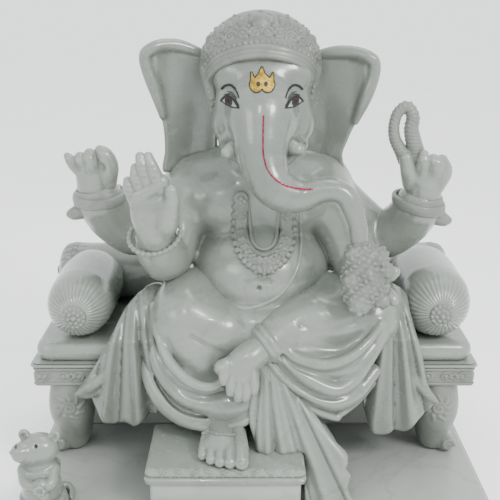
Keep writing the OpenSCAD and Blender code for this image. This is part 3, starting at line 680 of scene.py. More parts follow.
def make_centre_drape():
    """Cloth that falls beside the stool and spreads on the plinth."""
    cloth = Carving((-68, -168, PLINTH_TOP - 1), (140, -40, 206), 1.5)
    flutes = fan(12, 236, 17, 4.5)

    def depth(x, z):
        return -90 - 0.36 * (190 - z) + 0.004 * np.minimum(x + 4, 0)**2 + flutes(x, z)
    outline = [(-4, 198), (22, 200), (46, 166), (70, 142), (92, 114), (111, 95), (109, 80), (115, 72),
               (111, 58), (117, 44), (126, 26), (96, 24), (62, 28), (60, 88), (52, 96), (8, 96), (0, 108),
               (-6, 130), (-8, 160), (-10, 184)]
    cloth.sheet(outline, depth, 7, 2)
    cloth.stroke([(12, -74, 196), (24, -84, 146), (30, -94, 112)], [20, 26, 26], 8)
    cloth.stroke([(50, -82, 130), (84, -90, 80), (88, -98, 56)], [20, 20, 18], 8)
    cloth.above(PLINTH_TOP + 0.2)
    keep_carving(cloth, "centre_drape")


make_right_drape()
make_left_drape()
make_centre_drape()


# ---------- head, trunk, tusks, ears and crown ----------

TRUNK = [(9, -34, 486), (8, -50, 460), (9, -60, 437), (17, -70, 414), (33, -77, 401), (53, -81, 398),
         (73, -85, 405), (90, -89, 407), (103, -91, 400), (111, -93, 386), (117, -94, 368), (119, -95, 350)]
TRUNK_RADII = [37, 33, 28.5, 25, 22.5, 18, 14.5, 13, 12.3, 12, 11, 10]


def carve_head():
    """Skull, brow, cheeks, lips and trunk in one skin."""
    head = Carving((-72, -112, 334), (136, 84, 596), 1.5)
    head.blob((11, 18, 500), (60, 52, 76))
    for x in (-18, 40):
        head.blob((x, -6, 528), (30, 27, 26), blend=16)
        head.blob((x, -8, 472), (33, 32, 34), blend=16)
    head.blob((9, 1, 533), (50, 34, 27), blend=14)
    # bulging sockets, cheeks and the root of the trunk
    for x in (-27, 46):
        head.blob((x, -16, 499), (15, 13, 12), blend=10)
    head.stroke([(10, -8, 520), (9, -24, 500), (9, -36, 484)], [28, 32, 36], 16)
    head.stroke(TRUNK, TRUNK_RADII, 12)
    # lip folds under the tusks
    head.stroke([(-34, -20, 446), (-22, -34, 438), (-10, -40, 428)], [8, 8, 7], 6)
    head.stroke([(56, -20, 446), (44, -34, 438), (30, -44, 428)], [8, 8, 7], 6)
    # rounded lip that each tusk comes out of, and the crease that hooks over it
    head.stroke([(-14, -44, 458), (-26, -38, 459), (-36, -26, 452)], [5, 6, 5], 6)
    head.stroke([(32, -44, 460), (44, -38, 461), (56, -26, 453)], [5, 6, 5], 6)
    head.stroke([(-18, -54, 454), (-28, -48, 456), (-38, -36, 450)], [1, 1.8, 1.2], 1.5, remove=True)
    head.stroke([(36, -52, 456), (46, -48, 459), (55, -38, 456), (60, -28, 447)], [1, 1.8, 2, 1.4], 1.5,
                remove=True)
    # two nostrils at the tip
    for x in (-4, 4):
        head.blob((119 + x, -97, 342), (2.6, 3, 6), blend=2, remove=True)
    return head


HEAD = carve_head()


def make_head():
    """The carved head, with the trunk cut off as its own piece."""
    head = HEAD.mesh("head")
    trunk = split(head, "trunk", (9, -62, 434), (0.1, -0.35, -0.93), (53, -81, 398), 62)
    keep_piece(trunk, SHADED_MARBLE, "polished_marble", "trunk")
    keep_piece(head, SHADED_MARBLE, "polished_marble", "head")


def make_tusks():
    for name, points in (("right_tusk", [(-16, -36, 449), (-25, -48, 446), (-31, -53, 443)]),
                         ("left_tusk", [(34, -38, 450), (43, -48, 448), (50, -52, 446)])):
        tusk = Carving(np.min(points, 0) - 16, np.max(points, 0) + 16, 1.0)
        tusk.stroke(points, [10, 9.5, 7.5], 1)
        keep_carving(tusk, name)


def make_ear(name, outline, rim, inner_x, side):
    """A cupped ear: a thin plate, drawn back at the head, with a rolled upper rim."""
    xs = [p[0] for p in outline]
    zs = [p[1] for p in outline]
    ear = Carving((min(xs) - 14, -18, min(zs) - 14), (max(xs) + 14, 76, max(zs) + 14), 1.6)

    def depth(x, z):
        out = np.clip(side * (x - inner_x) / 75, 0, 1)
        low_part = np.clip((500 - z) / 90, 0, 1)
        cup = np.sin(out * math.pi)
        fading = np.clip(out * 4, 0, 1) * np.clip((1 - out) * 4, 0, 1)
        folds = 1.2 * np.sin(out * 7 + (z - 480) * 0.02) * fading
        return 38 - 16 * out + 9 * cup + 8 * low_part * (1 - out) + folds
    ear.sheet(outline, depth, 4.5, 3)
    rim_points = [(x, float(depth(np.array(x), np.array(z))) - 4, z) for x, z in rim]
    ear.stroke(rim_points, [5] + [7.5] * (len(rim) - 2) + [4], 5)
    keep_carving(ear, name, SHADED_MARBLE)


def make_ears():
    make_ear("left_ear",
             [(56, 548), (80, 550), (100, 553), (120, 553), (139, 549), (149, 542), (146, 523), (137, 496),
              (127, 470), (117, 444), (111, 424), (114, 404), (96, 408), (60, 428)],
             [(78, 547), (98, 550), (120, 550), (137, 545), (144, 537), (143, 520), (135, 496), (125, 468)],
             58, LEFT)
    make_ear("right_ear",
             [(-44, 548), (-68, 552), (-89, 559), (-106, 561), (-123, 559), (-135, 552), (-131, 532),
              (-121, 505), (-114, 475), (-111, 450), (-111, 430), (-113, 404), (-84, 410), (-46, 428)],
             [(-66, 550), (-88, 557), (-106, 559), (-120, 556), (-130, 547), (-128, 530), (-119, 504),
              (-112, 475)], -42, RIGHT)


make_head()
make_tusks()
make_ears()

CROWN_MID = np.array([8.0, 22.0, 536.0])
CROWN_HALF = np.array([73.0, 62.0, 65.0])
CROWN_TILT = math.radians(44)
CROWN_UP = np.array([0, math.sin(CROWN_TILT), math.cos(CROWN_TILT)])
CROWN_BROW = np.array([0, -math.cos(CROWN_TILT), math.sin(CROWN_TILT)])
CROWN_BASE = np.array([8.0, 10.0, 512.0])


def crown_point(rise, degrees, lift=0.0):
    """Point on the crown `rise` mm above its tilted rim, at an angle round it from the front."""
    angle = math.radians(degrees)
    start = CROWN_BASE + rise * CROWN_UP
    way = math.sin(angle) * np.array([1.0, 0, 0]) + math.cos(angle) * CROWN_BROW
    p, d = (start - CROWN_MID) / CROWN_HALF, way / CROWN_HALF
    a, b, c = d @ d, 2 * p @ d, p @ p - 1
    reach = (-b + math.sqrt(max(b * b - 4 * a * c, 0))) / (2 * a)
    return start + way * (reach + lift)


def make_crown():
    """A low domed crown, carved all round."""
    crown = Carving((-80, -56, 452), (98, 96, 606), 1.0)
    crown.blob(CROWN_MID, CROWN_HALF - 1.2)
    # keep what is above the tilted rim plane
    x, y, z = np.meshgrid(*crown.axes, indexing="ij", sparse=True)
    plane = -(y - CROWN_BASE[1]) * CROWN_UP[1] - (z - CROWN_BASE[2]) * CROWN_UP[2] - 7
    crown.field = np.maximum(crown.field, plane).astype(np.float32)
    around = range(-130, 131, 10)
    # double rim lying on the brow, with a row of small beads above it
    crown.stroke([crown_point(-5, a, -1) for a in around], 3.6, 2)
    crown.stroke([crown_point(0, a, -3) for a in around], 4.4, 2)
    for a in np.arange(-128, 129, 5.6):
        crown.blob(crown_point(9.6, a, -1.6), 2.0, blend=1)
    crown.stroke([crown_point(4.6, a, -1.8) for a in around], 2.6, 2)
    # a row of scrolls with a flower between each pair
    for a in np.arange(-120, 121, 24):
        for side in (-1, 1):
            turns = [crown_point(21.5 + (7.5 - t * 0.55) * math.sin(t * 0.8),
                                 a + side * (6 - (7.5 - t * 0.55) * 0.8 * math.cos(t * 0.8)), -1.6)
                     for t in range(0, 12)]
            crown.stroke(turns, 2.0, 0.8)
        crown.blob(crown_point(21.5, a - 12, -1.2), 3.2, blend=0.8)
        for k in range(6):
            crown.blob(crown_point(21.5 + 5.4 * math.sin(k * math.pi / 3),
                                   a - 12 + 5.2 * math.cos(k * math.pi / 3), -1.6), 2.3, blend=0.6)
    for rise in (31.5, 53):
        for a in np.arange(-132, 133, 6 if rise < 50 else 10):
            crown.blob(crown_point(rise, a, -1.4), 1.9, blend=0.6)
    # leaves above, each with a bead at its foot, and a large flower in front
    for a in np.arange(-120, 121, 20):
        crown.stroke([crown_point(37, a, -2.4), crown_point(42, a, -2), crown_point(49, a, -2.4)],
                     [3.6, 4.2, 1.2], 1)
        crown.stroke([crown_point(37, a, 2.2), crown_point(46, a, 2)], [0.8, 0.6], 0.8, remove=True)
        crown.blob(crown_point(38, a + 10, -1.4), 2.5, blend=0.8)
        crown.stroke([crown_point(42, a + 10, -1.8), crown_point(49, a + 10, -1.8)], [2.2, 1], 0.8)
    for a in np.arange(0, 360, 30):
        crown.blob(crown_point(60, a, -1.8), 2.6, blend=0.8)
    crown.blob(crown_point(38, 0, -8.5), 14, blend=2)
    crown.blob(crown_point(38, 0, -0.6), 4.6, blend=1)
    for k in range(8):
        t = k * math.pi / 4
        crown.blob(crown_point(38 + 8 * math.sin(t), 9 * math.cos(t), -1), 3.3, blend=0.8)
    # bands that run down in front of the ears
    radii = [8, 7, 6, 3.5]
    for side in (RIGHT, LEFT):
        edge = [(CROWN_MID[0] + side * 64, 4, 530), (CROWN_MID[0] + side * 59, -1, 506),
                (CROWN_MID[0] + side * 55, -2, 484), (CROWN_MID[0] + side * 52, 0, 466)]
        crown.stroke(edge, radii, 5)
        for px, py, pz, r in curve(edge, radii, 6):
            crown.blob((px + side * 2, py - r * 0.85, pz), 2.3, blend=0.8)
    keep_carving(crown, "crown", SHADED_CROWN_MARBLE, "carved_marble")


make_crown()


# ---------- painted marks on the face ----------

def inlay(name, host, shapes, thickness, material, slot, step=0.45):
    """A thin coat that follows a carving's surface inside flat shapes seen from the front."""
    points = np.vstack([s[0] for s in shapes])
    reach = max(s[1] for s in shapes) + 2
    lowest, highest = points.min(0) - reach, points.max(0) + reach
    corners = host.front(*zip(*[(x, z) for x in np.linspace(lowest[0], highest[0], 7)
                                for z in np.linspace(lowest[1], highest[1], 7)]))
    coat = Carving((lowest[0], corners.min() - 2, lowest[1]),
                   (highest[0], corners.max() + 3, highest[1]), step)
    x, z = np.meshgrid(coat.axes[0], coat.axes[2], indexing="ij")
    flat = np.full(x.shape, FAR)
    for path, radius in shapes:
        if radius > 0:
            for a, b in zip(path, path[1:]):
                e = b - a
                t = np.clip(((x - a[0]) * e[0] + (z - a[1]) * e[1]) / max(e @ e, 1e-9), 0, 1)
                gap = np.sqrt((x - a[0] - t * e[0])**2 + (z - a[1] - t * e[1])**2)
                flat = np.minimum(flat, gap - radius)
        else:
            flat = np.minimum(flat, polygon_distance(x, z, path))
    grid = np.stack(np.meshgrid(*coat.axes, indexing="ij"), -1).reshape(-1, 3)
    skin = np.abs(host.sample(grid).reshape(coat.field.shape)) - thickness
    coat.field = np.maximum(flat[:, None, :], skin).astype(np.float32)
    return keep_piece(coat.mesh(name), material, slot)


def line(points, radius, spacing=1.0):
    """A drawn line for inlay(): a smooth path in X and Z with a half width."""
    rows = curve([(x, 0, z) for x, z in points], 0, spacing)
    return rows[:, [0, 2]], radius


def patch(points):
    """A filled outline for inlay()."""
    rows = curve([(x, 0, z) for x, z in points + points[:1]], 0, 1.0)
    return rows[:-1, [0, 2]], 0


def dot(x, z, radius):
    """A round spot for inlay()."""
    return np.array([[x, z], [x + 0.01, z]]), radius


def paint_face():
    """Forehead mark and eyes, each colour its own thin coat."""
    mark = [(-5.5, 519.5), (-4, 525), (-3.5, 532.5), (0, 526.5), (2.5, 528.5), (5, 531.5), (8.5, 538),
            (11.5, 531.5), (15, 528.5), (17.5, 526.5), (21, 532), (21.5, 525), (22.5, 519.5), (20, 515),
            (15.5, 513), (11, 514), (8.5, 516.5), (5.5, 514), (1.5, 513), (-3, 515)]
    tilak = inlay("tilak", HEAD, [patch(mark)], 1.1, GOLD, "gold_paint", 0.4)
    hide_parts("tilak")
    inlay("tilak_outline", HEAD, [line(mark + mark[:1], 1.15, 0.8)], 0.8, DARK_LINE, "eye_paint", 0.4)
    inlay("tilak_dots", HEAD, [dot(4.3, 521, 2.3), dot(12.8, 521, 2.3)], 1.6, DARK_LINE, "eye_paint")
    for side, mid, word in ((1, -29, "right"), (-1, 46.5, "left")):
        def at(points):
            return [(mid + side * dx, 498 + dz) for dx, dz in points]
        white = at([(-9, 1.2), (-6, 4.4), (-1.2, 6.2), (3.8, 5), (7.4, 1.4), (9.8, -2), (5, -2.4),
                    (0, -2.4), (-5, -1)])
        inlay(f"{word}_eye_white", HEAD, [patch(white)], 0.55, EYE_WHITE, "eye_paint")
        iris = at([(-0.6, 1.9)])[0]
        inlay(f"{word}_iris", HEAD, [dot(*iris, 4.5)], 0.8, EYE_BROWN, "eye_paint", 0.35)
        ring = [(iris[0] + 4.3 * math.cos(a), iris[1] + 4.3 * math.sin(a))
                for a in np.linspace(0, 2 * math.pi, 15)]
        lines = [line(at([(-9.8, 0.9), (-6.4, 4.8), (-1.2, 6.8), (4, 5.6), (7.8, 1.8), (10.8, -2.4)]), 1.2),
                 line(at([(-9, 0.9), (-5, -1.7), (0, -3), (5, -3.1), (10, -2.6)]), 0.6),
                 line(at([(-6.2, 7.8), (0, 9.6), (6, 7.2), (11.4, 0)]), 0.42),
                 line(at([(-2, 12), (3.8, 11), (9, 6.6)]), 0.38),
                 line(ring, 0.4, 0.8),
                 line(at([(-9, 14.4), (-4.9, 18), (1, 19.4), (6.4, 16.4)]), 1.3),
                 line(at([(6.4, 16.4), (9.5, 12), (11, 8.2)]), 0.75),
                 dot(*iris, 2.6)]
        lids = inlay(f"{word}_eye_lines", HEAD, lines, 0.95, EYE_BLACK, "eye_paint", 0.4)
        if word == "right":
            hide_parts("painted_eyes")


def gem(bm, place, size, tilt):
    """A small cut stone."""
    made = bmesh.ops.create_icosphere(bm, subdivisions=1, radius=size * MM)
    bmesh.ops.rotate(bm, verts=made["verts"], matrix=tilt, cent=(0, 0, 0))
    bmesh.ops.translate(bm, verts=made["verts"], vec=Vector(place) * MM)


def make_trunk_line():
    """A painted red stripe with a row of tiny stones along it, down the brow and along the trunk."""
    path = curve([(10, 0, 488), (9.5, 0, 468), (9.5, 0, 452), (11, 0, 442), (13.5, 0, 433), (18, 0, 426),
                  (25, 0, 419), (34, 0, 414), (44, 0, 411), (54, 0, 409.5), (64, 0, 410)], 0, 2.2)
    stripe = inlay("trunk_line", HEAD, [(path[:, [0, 2]], 0.95)], 0.6, RED, "red_stones")
    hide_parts("trunk_line")
    spots = HEAD.on(path[::2, 0], path[::2, 2], 0.6)
    bm = bmesh.new()
    for i, spot in enumerate(spots):
        facing = Vector((0.3, -1, 0.2 * (i % 3)))
        gem(bm, spot, 1.15, Vector((0, 0, 1)).rotation_difference(facing).to_matrix())
    mesh = bpy.data.meshes.new("trunk_line_stones")
    bm.to_mesh(mesh)
    bm.free()
    keep_piece(linked("trunk_line_stones", mesh), RED, "red_stones")


paint_face()
make_trunk_line()


# ---------- cuffs, hands and what they hold ----------

def make_rear_cuff(name, side):
    """A tilted cuff with a flat band round its rim, hollow for the hand that stands in it."""
    x, y = middle(name)[:2]
    top = high(name)[2] - 6
    tip = 5 if side == LEFT else 1
    cuff = Carving((x - 48, y - 44, top - 54), (x + 48, y + 44, top + 16), 1.0)
    cuff.stroke([(x - side * 5, y + 6, top - 20), (x, y, top - 6)], [27, 30.5], 0)
    for drop, r in ((0, 33), (2.5, 33.4), (5, 33.2), (7.5, 32.6)):
        rim = [(x + (r - 3) * math.cos(a), y + (r - 3) * math.sin(a),
                top - 1 - drop - side * tip * math.cos(a) + 4 * math.sin(a))
               for a in np.linspace(0, 2 * math.pi, 33)]
        cuff.stroke(rim, 3, 1)
    cuff.stroke([(x, y, top - 5), (x, y, top + 34)], [27, 29.5], 1.5, remove=True)
    # leaf-shaped spur under the outer edge
    cuff.stroke([(x + side * 18, y - 10, top - 20), (x + side * 31, y - 10, top - 24),
                 (x + side * 38, y - 10, top - 25)], [10, 8, 3], 4)
    keep_carving(cuff, name, CARVED, "carved_marble")


def raised(points, height):
    return [(x, y, z + height) for x, y, z in points]


def make_right_rear_hand():
    z = low("right_rear_hand")[2]
    hand = Carving((-238, -44, z - 4), (-154, 34, z + 84), 1.0)
    hand.stroke([(-194, 4, z - 6), (-195, 3, z + 14), (-195, 1, z + 32)], [23, 22.5, 23], 4)
    hand.blob((-194, 0, z + 42), (24, 18, 18), blend=6)
    # fingers folded over the palm: the little finger stands out, the first finger makes a thick hook
    fingers = [([(-208, -6, 34), (-217, -12, 46), (-224, -12, 55)], [9, 8, 4.5]),
               ([(-203, -10, 36), (-208, -18, 48), (-208, -16, 54)], [10, 9, 7]),
               ([(-192, -12, 36), (-196, -20, 50), (-196, -17, 58)], [10, 9, 7.5]),
               ([(-178, -4, 22), (-175, -12, 42), (-178, -16, 56), (-184, -16, 63)], [11, 12, 10, 6])]
    for points, r in fingers:
        hand.stroke(raised(points, z), r, 1.5)
    for points in ([(-213, -22, 34), (-212, -24, 46), (-215, -20, 56)], [(-202, -26, 34), (-202, -28, 50)],
                   [(-188, -26, 34), (-187, -28, 48), (-189, -24, 58)]):
        hand.stroke(raised(points, z), 2.2, 2, remove=True)
    for px, pz in ((-210, 40), (-182, 42)):
        hand.blob((px, -26, z + pz), (4.5, 7, 6), blend=5, remove=True)
    keep_carving(hand, "right_rear_hand")


def make_left_rear_hand():
    z = low("left_rear_hand")[2]
    hand = Carving((160, -44, z - 4), (250, 34, z + 82), 1.0)
    hand.stroke([(208, 4, z - 6), (208, 3, z + 14), (207, 0, z + 32)], [24, 23, 23], 4)
    hand.blob((206, -2, z + 42), (24, 18, 17), blend=6)
    for points, r, blend in (([(191, -6, 30), (186, -12, 46), (182, -12, 60)], [11, 10, 8], 3),
                             ([(202, -12, 40), (202, -20, 56), (202, -18, 66)], [9, 8, 6], 2),
                             ([(214, -10, 36), (218, -18, 52), (214, -18, 60)], [11, 10, 7], 2),
                             ([(222, -6, 26), (228, -12, 44), (225, -14, 58)], [11, 11, 7.5], 3)):
        hand.stroke(raised(points, z), r, blend)
    for points in ([(209, -30, 64), (210, -28, 40)], [(195, -28, 62), (196, -26, 42)]):
        hand.stroke(raised(points, z), 2, 2, remove=True)
    keep_carving(hand, "left_rear_hand")


def make_noose():
    """A loop of twisted rope standing out of the hand, its two ends laid together below the eye."""
    loop = curve([(200, -6, 424), (192, -6, 446), (188, -6, 463), (189, -6, 478), (181, -6, 489),
                  (171, -6, 482), (167, -6, 467), (169, -6, 451), (178, -6, 434), (187, -6, 414)],
                 [10, 10, 9.2, 8.4, 7.6, 7, 7, 7.4, 8.4, 9.4], 2)
    noose = Carving((150, -24, 396), (216, 12, 500), 0.8)
    noose.stroke(loop[::3, :3], loop[::3, 3] - 0.8, 1)
    noose.stroke([(184, -6, 432), (192, -6, 420)], [7, 9], 4)
    # the lay of the strands: slanting ridges round the rope, in front and behind
    for i in range(2, len(loop) - 3, 2):
        ahead = loop[i + 1, :3] - loop[i - 1, :3]
        ahead /= np.linalg.norm(ahead)
        across = np.cross(ahead, [0, 1, 0])
        r = loop[i, 3] - 2.0
        for face in (-1, 1):
            out = np.array([0, face, 0])
            ridge = [loop[i, :3] + ahead * (k * 2.4) + r * (across * math.sin(k) + out * math.cos(k))
                     for k in np.linspace(-1.5, 1.5, 5)]
            noose.stroke(ridge, 1.6, 1.5)
    keep_carving(noose, "noose", CARVED, "carved_marble")


def make_right_front_hand():
    """Open hand raised in blessing."""
    hand = Carving((-162, -114, 326), (-70, -40, 466), 1.0)
    hand.stroke([(-115, -60, 340), (-115, -70, 352)], [22, 20], 4)
    hand.blob((-114, -78, 378), (27, 13, 36), (4, 3, 0), 10)
    hand.blob((-98, -86, 378), (11, 12, 27), (0, 4, 0), 8)
    hand.blob((-128, -84, 380), (12, 11, 28), (0, -10, 0), 8)
    hand.stroke([(-136, -86, 398), (-120, -88, 406), (-104, -86, 416)], [7.5, 8, 8.5], 6)
    fingers = [([(-136, -84, 398), (-141, -88, 409), (-142, -86, 417)], [7.5, 6.6, 5.2]),
               ([(-127, -84, 402), (-132, -89, 420), (-133, -87, 432)], [8, 7.2, 5.4]),
               ([(-118, -84, 406), (-124, -90, 430), (-127, -88, 445)], [8.2, 7.4, 5.4]),
               ([(-106, -84, 408), (-113, -90, 430), (-118, -88, 445)], [9.2, 7.8, 5.4])]
    for points, radii in fingers:
        hand.stroke(points, radii, 1.0)
        knuckle = curve(points, radii, 2)
        for at in (0.40, 0.72):
            row = knuckle[int(at * len(knuckle))]
            crease = row[:3] - [0, row[3] + 0.2, 0]
            hand.stroke([crease - [5, 0, 0], crease + [5, 0, 0]], 0.9, 1.5, remove=True)
    for points in ([(-136, -98, 404), (-137, -98, 416)], [(-127.5, -98, 406), (-129, -98, 432)],
                   [(-117, -98, 412), (-121.5, -99, 444)]):
        hand.stroke(points, 1.3, 1.5, remove=True)
    # thumb lying along the edge of the palm, with its tip free
    hand.stroke([(-99, -84, 366), (-93, -91, 392), (-93, -93, 407)], [12, 9, 7.5], 3)
    hand.stroke([(-101, -102, 412), (-101, -103, 396), (-106, -100, 378)], [1.4, 2, 0.8], 3, remove=True)
    hand.stroke([(-134, -99, 401), (-120, -99, 406), (-102, -98, 416)], [0.8, 1.4, 0.9], 3, remove=True)
    keep_carving(hand, "right_front_hand")


def bead_ring(name, places, radius):
    """Carved beads touching along a loop, joined by the stone behind them."""
    places = np.array(places, float)
    ring = Carving(places.min(0) - radius - 4, places.max(0) + radius + 4, 0.9)
    ring.stroke(np.vstack([places, places[:1]]), radius * 0.62, 0)
    for place in places:
        ring.blob(place, radius, blend=0.6)
    keep_carving(ring, name, CARVED, "carved_marble")


def make_right_bracelet():
    """A loose ring of beads that hangs in a U round the forearm."""
    beads = []
    for a in np.linspace(0, 2 * math.pi, 29)[:-1]:
        lift = 25 * math.sin(a)
        beads.append((-116 + 30 * math.cos(a), -66 + 0.62 * lift, 349 + 0.78 * lift + 4 * math.cos(a)))
    bead_ring("right_bracelet", beads, 3.5)


def make_left_bracelet():
    """A close ring of beads round the wrist."""
    x, y, z = middle("left_bracelet")
    bead_ring("left_bracelet", [(x + 25 * math.cos(a), y, z + 25 * math.sin(a))
                                for a in np.linspace(0, 2 * math.pi, 33)[:-1]], 2.9)


def make_left_front_hand():
    """Hand under the heap of sweets."""
    hand = Carving((92, -124, 254), (180, -46, 344), 1.0)
    hand.stroke([(134, -50, 298), (134, -70, 292), (132, -86, 286)], [21, 20, 19], 4)
    hand.blob((130, -92, 284), (24, 17, 18), blend=8)
    # finger ends that show at the outer side of the heap
    for points in ([(146, -90, 304), (156, -97, 311), (160, -100, 314)],
                   [(146, -88, 286), (156, -98, 283), (160, -103, 280)]):
        hand.stroke(points, [11, 9, 6.5], 3)
    keep_carving(hand, "left_front_hand")


def make_sweet():
    """A heap of sweets: an uneven mound, grainy all over, with larger lumps in it."""
    x, y = 125, middle("sweet")[1] + 2
    sweet = Carving((x - 38, y - 36, 254), (x + 46, y + 34, 366), 0.85)
    sweet.blob((x, y, 300), (25, 22, 33))
    sweet.blob((x - 3, y, 330), (20, 19, 20), blend=10)
    for spot, r in (((x + 15, y - 6, 332), 12), ((x + 24, y - 4, 316), 10), ((x + 20, y - 6, 298), 9),
                    ((x + 22, y - 8, 281), 9), ((x - 13, y - 8, 336), 9), ((x - 6, y - 13, 278), 12),
                    ((x - 15, y - 12, 306), 10), ((x + 4, y - 16, 314), 9)):
        sweet.blob(spot, r, blend=5)
    golden = math.pi * (3 - math.sqrt(5))
    grains = 260
    for k in range(grains):
        rise = 1 - 2 * (k + 0.5) / grains
        width = math.sqrt(1 - rise * rise)
        a = k * golden
        spot = np.array([x + 30 * width * math.cos(a), y + 30 * width * math.sin(a), 308 + 46 * rise])
        # slide each grain in towards the mound's axis until it lies on the surface
        axis = np.array([x, y, 308 + 28 * rise])
        for _ in range(6):
            gap = float(sweet.sample(spot[None])[0])
            spot = spot + (axis - spot) / np.linalg.norm(axis - spot) * gap * 0.8
        spot = spot + (axis - spot) / np.linalg.norm(axis - spot) * (0.6 + 1.2 * math.sin(k * 2.9))
        sweet.blob(spot, (2.5 + 0.9 * math.sin(k * 1.7), 2.3, 2.1 + 0.7 * math.cos(k * 1.3)), blend=2.2)
    keep_carving(sweet, "sweet", CARVED, "carved_marble")


def make_anklet():
    """A chain of beads that lies across the instep, just under the cloth."""
    x = np.arange(-60, -20, 5.2)
    bead_ring("anklet", RIGHT_FOOT.on(x, 126 - 0.014 * (x + 40)**2, 0.6), 2.6)


make_rear_cuff("right_rear_cuff", RIGHT)
make_rear_cuff("left_rear_cuff", LEFT)
make_right_rear_hand()
make_left_rear_hand()
make_noose()
make_right_front_hand()
make_right_bracelet()
make_left_front_hand()
make_left_bracelet()
make_sweet()
make_anklet()


# ---------- necklace and sacred thread ----------

def make_necklace():
    """A broad collar hanging in a U on the chest: two bead rows, petals between them, a rosette below."""
    def place(spread, degrees):
        rise = max(0, abs(degrees) - 90)
        a = math.radians(max(-90, min(90, degrees)))
        reach = 28 + (spread - 9) * (1 - 0.35 * rise / 40)
        return 12 + reach * math.sin(a), 340 - reach * math.cos(a) + rise
    angles = np.arange(-130, 131, 8)
    rows = {s: [place(s, a) for a in angles] for s in (0, 9, 18)}
    everything = np.array([p for r in rows.values() for p in r])
    fronts = BODY.front(everything[:, 0], everything[:, 1])
    collar = Carving((everything[:, 0].min() - 10, fronts.min() - 10, everything[:, 1].min() - 14),
                     (everything[:, 0].max() + 10, fronts.max() + 6, everything[:, 1].max() + 10), 0.9)
    collar.stroke(BODY.on(*np.array(rows[9]).T, -2), 9.5, 0)
    flat = -BODY.sample(np.stack(np.meshgrid(*collar.axes, indexing="ij"), -1).reshape(-1, 3))
    shell = np.abs(flat.reshape(collar.field.shape) + 1.0) - 3.4
    collar.field = np.maximum(collar.field, shell).astype(np.float32)
    collar.stroke(BODY.on(*np.array([place(-3, a) for a in angles]).T, 1.5), 2.4, 1)
    # scalloped outer edge, each lobe with a bead in it
    lobes = np.array([place(18, a) for a in np.arange(-130, 131, 10)])
    for spot in BODY.on(lobes[:, 0], lobes[:, 1], 2.2):
        collar.blob(spot, (4.6, 3.2, 4.6), blend=1.2)
        collar.blob(spot + [0, -2.6, 0], 1.8, blend=0.8)
    mids = np.array([place(9, a) for a in np.arange(-126, 127, 14)])
    for spot in BODY.on(mids[:, 0], mids[:, 1], 4.0):
        collar.blob(spot, (2.8, 2.8, 2.8), blend=1)
        for k in range(6):
            a = k * math.pi / 3 + 0.3
            collar.blob(spot + [4.8 * math.cos(a), 0.6, 4.8 * math.sin(a)], (2.6, 2.2, 2.6), blend=1)
    x, z = place(14, 0)
    for ring, count, radius in ((0, 1, 4), (7, 8, 3), (12, 12, 2.3)):
        a = np.arange(count) * 2 * math.pi / count
        for spot in BODY.on(x + ring * np.cos(a), z + ring * np.sin(a), 3):
            collar.blob(spot, radius, blend=1)
    keep_carving(collar, "necklace", CARVED, "carved_marble")


def make_thread():
    """A cord in low relief, from the left shoulder down and across under the navel to the right hip."""
    path = curve([(58, 0, 388), (56, 0, 366), (57, 0, 344), (56, 0, 320), (50, 0, 298), (40, 0, 282),
                  (26, 0, 268), (9, 0, 259), (-8, 0, 255), (-26, 0, 256), (-44, 0, 261),
                  (-60, 0, 270)], 0, 4)
    path = BODY.on(path[:, 0], path[:, 2], -0.6)
    cord = Carving(path.min(0) - 9, path.max(0) + 9, 1.0)
    cord.stroke(path, 2.4, 0)
    cord.stroke(path + [1.6, 0.8, 2.2], 1.6, 1.5)
    keep_carving(cord, "sacred_thread")


make_necklace()
make_thread()


# ---------- mouse ----------

